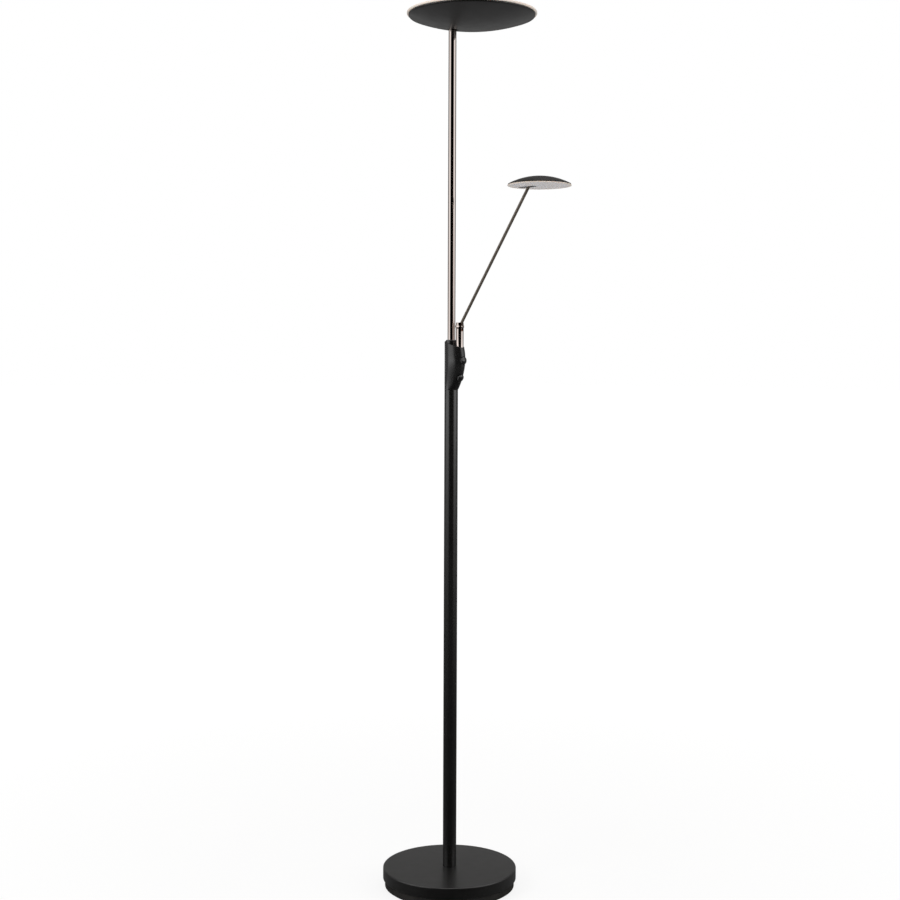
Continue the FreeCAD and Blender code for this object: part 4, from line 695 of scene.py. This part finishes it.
ringSize = {"outer": 130.38, "inner": 118.98, "seat": 121.08, "bottom": 1786, "top": 1790, "ledge": 1788,
            "round": 1.5, "coverBottom": 1788.02, "coverGap": 0.05}


def makeMainRing():
    # the ring is a turned square with a step inside, and the cover a turned plate that lies in that step
    s = ringSize
    at = (dishSize["centre"], 0, 0)
    outline = roundedOutline(
        [(s["inner"], s["bottom"]), (s["outer"], s["bottom"]), (s["outer"], s["top"]), (s["seat"], s["top"]),
         (s["seat"], s["ledge"]), (s["inner"], s["ledge"])],
        rounds=[0.3, s["round"], s["round"], 0.25, 0, 0.2], steps=9)
    closedPiece("mainRing", [lathe(outline, around=320, at=at)], "main_head", "opal_ring", ["main_ring"])
    edge = s["seat"] - s["coverGap"]
    cover = roundedOutline([(0, s["coverBottom"]), (edge, s["coverBottom"]), (edge, s["top"]), (0, s["top"])],
                           rounds=[0, 0.2, 0.35, 0], steps=5)
    closedPiece("mainDiffuser", [lathe(cover, around=256, at=at)], "main_head", "opal_cover",
                ["main_diffuser"])


makeDish()
makeMainRing()
print("stage: main head")

# The reading head
headSize = {"centre": 231.234, "domeRadius": 61, "domeTop": 1451.02, "domeEdge": 1436.1, "domeFoot": 1434.2,
            "domeWall": 1.2, "lipWall": 1.6, "lipLean": 0.9, "ringOuter": 62.1, "ringInner": 56.9,
            "ringBottom": 1432.32, "ringStep": 1434.15, "ringRound": 0.9, "gap": 0.05, "slotFrom": 183,
            "slotTo": 220, "slotHalf": 5, "lip": 3, "coverRecess": 0.3, "coverThick": 1.2,
            "around": 224, "slotAround": 192, "lipBevel": 0.1, "lipClear": 0.02, "domeSteps": 40,
            "insideSteps": 30, "stepGap": 0.15, "lipShares": (0, 0.06, 0.5, 1), "fanSteps": 16}


def domeBalls():
    # the radii of the dome's outer and inner ball: (radius^2 + rise^2) / (2 rise), and that less the wall
    s = headSize
    rise = s["domeTop"] - s["domeEdge"]
    ball = (s["domeRadius"] ** 2 + rise ** 2) / (2 * rise)
    return ball, ball - s["domeWall"]


def makeReadingDome():
    # the dome is a ball's cap: radius = ball sin a, height = top - ball (1 - cos a). It ends in a short lip
    # that leans in and laps over the ring, and a second cap lies inside it
    s = headSize
    ball, ballIn = domeBalls()
    a = np.linspace(0, math.asin(s["domeRadius"] / ball), s["domeSteps"])
    outer = np.stack([ball * np.sin(a), s["domeTop"] - ball * (1 - np.cos(a))], -1)
    lipOut = s["domeRadius"] - s["lipLean"]
    lipIn = s["domeRadius"] - s["lipWall"]
    low, bevel = s["domeFoot"], s["lipBevel"]
    lip = np.array([(lipOut, low + bevel), (lipOut - bevel, low), (lipIn + bevel, low), (lipIn, low + bevel)])
    b = np.linspace(math.asin((lipIn - s["lipClear"]) / ballIn), 0, s["insideSteps"])
    inner = np.stack([ballIn * np.sin(b), s["domeTop"] - ball + ballIn * np.cos(b)], -1)
    outline = np.concatenate([outer, lip, inner])
    closedPiece("readingDome", [lathe(outline, s["around"], at=(s["centre"], 0, 0))], "reading_head",
                "black_satin_metal", ["reading_dome"])


def makeReadingRing():
    # a turned ring with a step for the dome's lip. Its top slopes just under the dome's inner ball
    s = headSize
    ball, ballIn = domeBalls()
    step = s["domeRadius"] - s["lipWall"] - s["stepGap"]
    inner, outer = s["ringInner"], s["ringOuter"]

    def underDome(radius):
        return s["domeTop"] - ball + math.sqrt(ballIn ** 2 - radius ** 2) - s["gap"]

    outline = roundedOutline(
        [(inner, s["ringBottom"]), (outer, s["ringBottom"]), (outer, s["ringStep"]), (step, s["ringStep"]),
         (step, underDome(step)), (inner, underDome(inner))],
        rounds=[0.3, s["ringRound"], s["ringRound"], 0, 0.1, 0], steps=9)
    closedPiece("readingRing", [lathe(outline, s["around"], at=(s["centre"], 0, 0))], "reading_head",
                "opal_ring", ["reading_ring"])


def makeReadingCover():
    # the flat cover fans out from the arm's slot to its rim, and comes back on the other face
    s = headSize
    turn = (np.arange(s["slotAround"]) + 0.5) * 2 * np.pi / s["slotAround"]
    circle = np.stack([np.cos(turn), np.sin(turn)], -1)
    rim = np.array((s["centre"], 0)) + (s["ringInner"] - s["gap"]) * circle
    hole = slotLoop(s["slotFrom"], s["slotTo"], s["slotHalf"], turn)
    lipLoop = slotLoop(s["slotFrom"] - s["lip"], s["slotTo"] + s["lip"], s["slotHalf"] + s["lip"], turn)
    near = loopFan(hole, lipLoop, np.array(s["lipShares"]))
    far = loopFan(lipLoop, rim, np.linspace(0, 1, s["fanSteps"])[1:])
    plan = np.concatenate([near, far])
    low = s["ringBottom"] + s["coverRecess"]
    below = withHeight(plan, np.full(plan.shape[:2], low))
    above = withHeight(plan, np.full(plan.shape[:2], low + s["coverThick"]))
    cover = closedPiece("readingDiffuser", [np.concatenate([below, above[::-1]])], "reading_head",
                        "opal_cover", ["reading_diffuser"])
    # painted shade: the faces round the slot take the black plastic, as the slot's shadow. They are the faces
    # whose distance from the slot's middle line is under half its width and most of the lip's
    cover.data.materials.append(finishes["black_plastic"])
    middle = np.zeros(len(cover.data.polygons) * 3)
    cover.data.polygons.foreach_get("center", middle)
    x, y = middle[::3] / mm, middle[1::3] / mm
    beyond = np.maximum(np.maximum(s["slotFrom"] + s["slotHalf"] - x, x - s["slotTo"] + s["slotHalf"]), 0)
    slotShadeFaces = np.hypot(beyond, y) < s["slotHalf"] + 0.9 * s["lip"]
    cover.data.polygons.foreach_set("material_index", slotShadeFaces.astype(np.int32))


makeReadingDome()
makeReadingRing()
makeReadingCover()
print("stage: reading head")

# The arm, and the pin and nut of its pivot
armSize = {"foot": (23.2, 0, 1164.4), "angle": 33.97, "length": 333.3, "tube": 3, "wall": 1, "neck": 7,
           "neckRadius": 2.4, "neckStart": 0.6, "plugEnd": 17, "plugGap": 0.05, "lowerEye": 5.5,
           "upperEye": 4, "eyeWidth": 5, "lowerBore": 2.08, "upperBore": 1.58}


def makeArm():
    # the tube and both eyes lie on one line that leans by angle from upright: point = foot + distance * way.
    # Each eye has a neck whose thinner end is plugged into the tube
    s = armSize
    lean = math.radians(s["angle"])
    way = np.array((math.sin(lean), 0, math.cos(lean)))
    foot = np.array(s["foot"], float)
    inner = s["tube"] - s["wall"]
    end = s["length"] - s["neck"]
    tube = roundedOutline([(inner, s["neck"]), (s["tube"], s["neck"]), (s["tube"], end), (inner, end)],
                          rounds=[0, 0.3, 0.3, 0], steps=5)
    closedPiece("armTube", [lathe(tube, 64, way, foot)], "reading_arm", "arm_finish", ["arm_tube"])
    half = s["eyeWidth"] / 2
    plug = inner - s["plugGap"]
    for name, node, where, toward, radius, bore, coat in (
            ("armLowerEye", "arm_lower_eye", foot, way, s["lowerEye"], s["lowerBore"], "chrome_tube"),
            ("armUpperEye", "arm_upper_eye", foot + way * s["length"], -way, s["upperEye"], s["upperBore"],
             "arm_finish")):
        eye = roundedOutline([(bore, -half), (radius, -half), (radius, half), (bore, half)],
                             rounds=[0.15, 0.7, 0.7, 0.15], steps=6)
        start = bore + s["neckStart"]
        neck = roundedOutline([(0, start), (s["neckRadius"], start), (s["neckRadius"], s["neck"]),
                               (plug, s["neck"]), (plug, s["plugEnd"]), (0, s["plugEnd"])],
                              rounds=[0, 0, 0, 0, 0.3, 0], steps=5)
        closedPiece(name, [lathe(eye, 72, (0, 1, 0), where), lathe(neck, 48, toward, where)], "reading_arm",
                    "arm_finish", [node], coat=coat)


pinSize = {"at": armSize["foot"], "flat": 7.2, "radius": 2, "head": 4.8, "edge": 0.8, "dome": 0.8,
           "grip": 2.05, "bevel": 0.2, "skirtEnd": 0.1, "capFoot": (0.12, 0.04), "domeSteps": 14}


def makePins():
    # the pin's head and its nut are low domes: a short upright edge, then a ball's cap of the same rise
    s = pinSize
    ball = (s["head"] ** 2 + s["dome"] ** 2) / (2 * s["dome"])
    a = np.linspace(math.asin(s["head"] / ball), 0, s["domeSteps"])
    rise = s["flat"] + s["edge"]
    bevel = s["bevel"]
    cap = np.stack([ball * np.sin(a), rise + s["dome"] - ball * (1 - np.cos(a))], -1)
    cap[0] = (s["head"] - s["capFoot"][0], rise + s["capFoot"][1])
    skirt = np.array([(s["head"] - bevel, s["flat"]), (s["head"], s["flat"] + bevel),
                      (s["head"], rise - s["skirtEnd"])])
    pin = np.concatenate([[(0, -rise), (s["radius"] - bevel, -rise), (s["radius"], bevel - rise),
                           (s["radius"], s["flat"])], skirt, cap])
    nut = np.concatenate([[(0, rise), (s["grip"], rise), (s["grip"], s["flat"])], skirt, cap])
    for name, node, outline, side in (("armPin", "arm_pin", pin, -1), ("armPinNut", "arm_pin_nut", nut, 1)):
        closedPiece(name, [lathe(outline, 72, (0, side, 0), s["at"])], "reading_post", "chrome_tube", [node])


makeArm()
makePins()
print("stage: arm")

# Floor, backdrop and light, in metres and degrees
studio = {"floorHalf": 60.0, "floorBelow": 0.0004, "paper": 0.76, "glow": 1.05, "nearShare": 0.8,
          "fadeFrom": 0.5, "fadeTo": 3.0, "worldStrength": 0.62, "worldColour": (1, 0.985, 0.97, 1)}
# what reflections see: (height, tone) pairs on the wall, (radius, tone) pairs on the floor, and angles that
# go round from the camera's side
cloth = {"middle": 0.01, "wallRadius": 4.2, "wallTop": 7.0, "floorRows": 40, "wallRows": 69, "around": 180,
         "wallTones": ((0, 0.14), (0.15, 0.2), (0.5, 0.36), (0.7, 0.8), (0.93, 2.0), (1.05, 2.0), (1.2, 1.0)),
         "floorTones": ((0, 0.0), (0.8, 0.01), (1.8, 0.02), (3.6, 0.08), (4.2, 0.14)),
         "behindTone": 0.24, "behind": ((120, 150), (210, 240)),
         "sideTones": ((0, 0.13), (0.3, 0.13), (0.6, 0.06), (1.5, 0.05), (4.2, 0.14)), "sides": (15, 100),
         # a flag: two angles, two heights, half the width of its soft edges across and up, a grey or colour
         "flags": ((95, 142, -0.5, 3.6, 5, 0.2, 0.21),
                   (218, 265, -0.5, 3.6, 5, 0.2, 0.21),
                   (140, 220, -0.5, 1.1, 4, 0.35, 0.42),
                   (140, 220, 1.1, 9, 4, 0.35, (0.15, 0.147, 0.143)),
                   (30, 46, -0.5, 1.17, 3, 0.04, (0.055, 0.026, 0.016)),
                   (-36, 37, -0.5, 1.17, 4, 0.04, 0.0),
                   (28, 45, 1.17, 9, 3, 0.04, (0.055, 0.026, 0.016)),
                   (-46, 35, 1.17, 9, 4, 0.04, 0.0))}


def seenRay(tree):
    # 1 for rays from the camera and for reflected and refracted rays, 0 for the light that falls on things
    rays = newNode(tree, "ShaderNodeLightPath")
    last, output = rays, "Is Camera Ray"
    for kind in ("Is Glossy Ray", "Is Transmission Ray"):
        larger = newNode(tree, "ShaderNodeMath")
        larger.operation = "MAXIMUM"
        joinNodes(tree, (last, output, larger, 0), (rays, kind, larger, 1))
        last, output = larger, 0
    return last


def makeWorld():
    # plain white where it is seen, and a dimmer, slightly warm light on the object
    world = bpy.data.worlds.new("studio")
    bpy.context.scene.world = world
    world.use_nodes = True
    tree = world.node_tree
    tree.nodes.clear()
    falling = newNode(tree, "ShaderNodeBackground", Color=studio["worldColour"],
                      Strength=studio["worldStrength"])
    seen = newNode(tree, "ShaderNodeBackground", Color=(1, 1, 1, 1), Strength=1.0)
    mix = newNode(tree, "ShaderNodeMixShader")
    out = newNode(tree, "ShaderNodeOutputWorld")
    joinNodes(tree, (seenRay(tree), 0, mix, 0), (falling, 0, mix, 1), (seen, 0, mix, 2),
              (mix, 0, out, "Surface"))


def makeFloor():
    # a square of white paper. Where it is seen, its own glow takes over from its shading by a share that
    # grows from nearShare to 1 between the two fade distances, so the lamp's shadow stays near the lamp
    s = studio
    half = s["floorHalf"]
    mesh = bpy.data.meshes.new("studioFloor")
    mesh.from_pydata([(-half, -half, 0), (half, -half, 0), (half, half, 0), (-half, half, 0)], [],
                     [(0, 1, 2, 3)])
    floor = addObject("studioFloor", mesh)
    floor.location.z = -s["floorBelow"]
    paper = emptyMaterial("whitePaper")
    tree = paper.node_tree
    lit = newNode(tree, "ShaderNodeBsdfDiffuse", Color=(s["paper"], s["paper"], s["paper"], 1))
    glow = newNode(tree, "ShaderNodeEmission", Strength=s["glow"])
    spot = newNode(tree, "ShaderNodeTexCoord")
    far = newNode(tree, "ShaderNodeVectorMath")
    far.operation = "LENGTH"
    fade = newNode(tree, "ShaderNodeMapRange", From_Min=s["fadeFrom"], From_Max=s["fadeTo"],
                   To_Min=s["nearShare"], To_Max=1.0)
    share = newNode(tree, "ShaderNodeMath")
    share.operation = "MULTIPLY"
    mix = newNode(tree, "ShaderNodeMixShader")
    out = newNode(tree, "ShaderNodeOutputMaterial")
    joinNodes(tree, (spot, "Object", far, 0), (far, "Value", fade, "Value"), (seenRay(tree), 0, share, 0),
              (fade, 0, share, 1), (share, 0, mix, 0), (lit, 0, mix, 1), (glow, 0, mix, 2),
              (mix, 0, out, "Surface"))
    mesh.materials.append(paper)


def clothTones(turn, floorRadius, height):
    # the tone of the cloth at each row and column. It dims towards the floor by the curves of height and
    # radius, is lighter behind and beside the lamp, and each flag darkens the wall to its own tone
    s = cloth
    rows = s["floorRows"]
    dim = np.interp(height, *zip(*s["wallTones"]))
    dim[:rows] = np.interp(floorRadius, *zip(*s["floorTones"]))
    tone = np.repeat(dim[:, None, None], s["around"], 1) * np.ones(3)
    rise, fall = s["behind"]
    behind = softStep(turn, *rise) * (1 - softStep(turn, *fall)) * s["behindTone"]
    beside = softStep(np.abs((turn + 180) % 360 - 180), *s["sides"])
    sides = np.interp(floorRadius, *zip(*s["sideTones"]))[:, None] * beside
    tone[:rows] = np.maximum(tone[:rows], np.maximum(behind[None], sides)[..., None])
    upright = (np.arange(len(height)) >= rows)[:, None, None]
    for left, right, low, high, softAngle, softHeight, colour in s["flags"]:
        across = softStep(turn, left - softAngle, left + softAngle)
        across = across * (1 - softStep(turn, right - softAngle, right + softAngle))
        along = softStep(height, low - softHeight, low + softHeight)
        along = along * (1 - softStep(height, high - softHeight, high + softHeight))
        cover = (along[:, None] * across[None])[..., None] * upright
        tone = tone * (1 - cover) + np.minimum(tone, colour) * cover
    return tone


def makeCloth():
    # a round cloth on the floor that turns up into a wall, as a grid of rings that only reflections see
    s = cloth
    out = Vector(view["toward"]).normalized()
    turn = np.linspace(-90, 270, s["around"] + 1)[:-1]
    floorRadius = np.linspace(s["middle"], s["wallRadius"], s["floorRows"])
    height = np.concatenate([np.zeros(s["floorRows"]), np.linspace(0, s["wallTop"], s["wallRows"] + 1)[1:]])
    radius = np.concatenate([floorRadius, np.full(s["wallRows"], s["wallRadius"])])
    tone = clothTones(turn, floorRadius, height)
    a = np.radians(turn) + math.atan2(out.y, out.x)
    points = np.stack([radius[:, None] * np.cos(a), radius[:, None] * np.sin(a),
                       height[:, None] - studio["floorBelow"] / 2 + 0 * a], -1)
    faces = gridQuads(len(radius), s["around"])[:-s["around"]]
    mesh = bpy.data.meshes.new("reflectionCloth")
    mesh.from_pydata(points.reshape(-1, 3).tolist(), [], faces.tolist())
    layer = mesh.color_attributes.new("tone", "FLOAT_COLOR", "POINT")
    flat = np.concatenate([tone, np.ones(tone.shape[:2] + (1,))], -1)
    layer.data.foreach_set("color", flat.astype(np.float32).ravel())
    material = emptyMaterial("reflectionCloth")
    tree = material.node_tree
    painted = newNode(tree, "ShaderNodeAttribute")
    painted.attribute_name = "tone"
    glow = newNode(tree, "ShaderNodeEmission")
    end = newNode(tree, "ShaderNodeOutputMaterial")
    joinNodes(tree, (painted, "Color", glow, "Color"), (glow, 0, end, "Surface"))
    mesh.materials.append(material)
    wall = addObject("reflectionCloth", mesh)
    wall.visible_camera = False
    wall.visible_diffuse = False
    wall.visible_shadow = False
    wall.visible_transmission = False


lamps = {
    "keyLeft": {"at": (-0.6, -3.6, 3.0), "aim": (0, 0, 0.9), "size": (1.6, 2.2), "power": 48},
    "fillRight": {"at": (3.4, 1.6, 2.2), "aim": (0, 0, 1.0), "size": (1.8, 2.4), "power": 28},
    "topSoft": {"at": (0.3, 0.2, 4.2), "aim": (0, 0, 0), "size": (2.4, 2.4), "power": 24},
}


def makeLamps():
    # soft rectangles that point at their aim and aren't seen themselves
    for name, s in lamps.items():
        data = bpy.data.lights.new(name, "AREA")
        data.shape = "RECTANGLE"
        data.size, data.size_y = s["size"]
        data.energy = s["power"]
        lamp = addObject(name, data)
        lamp.location = s["at"]
        lamp.rotation_euler = (Vector(s["aim"]) - Vector(s["at"])).to_track_quat("-Z", "Y").to_euler()
        lamp.visible_camera = False
        lamp.visible_glossy = False


makeWorld()
makeFloor()
makeCloth()
makeLamps()
bpy.context.scene.view_settings.view_transform = "Standard"
print("stage: studio")
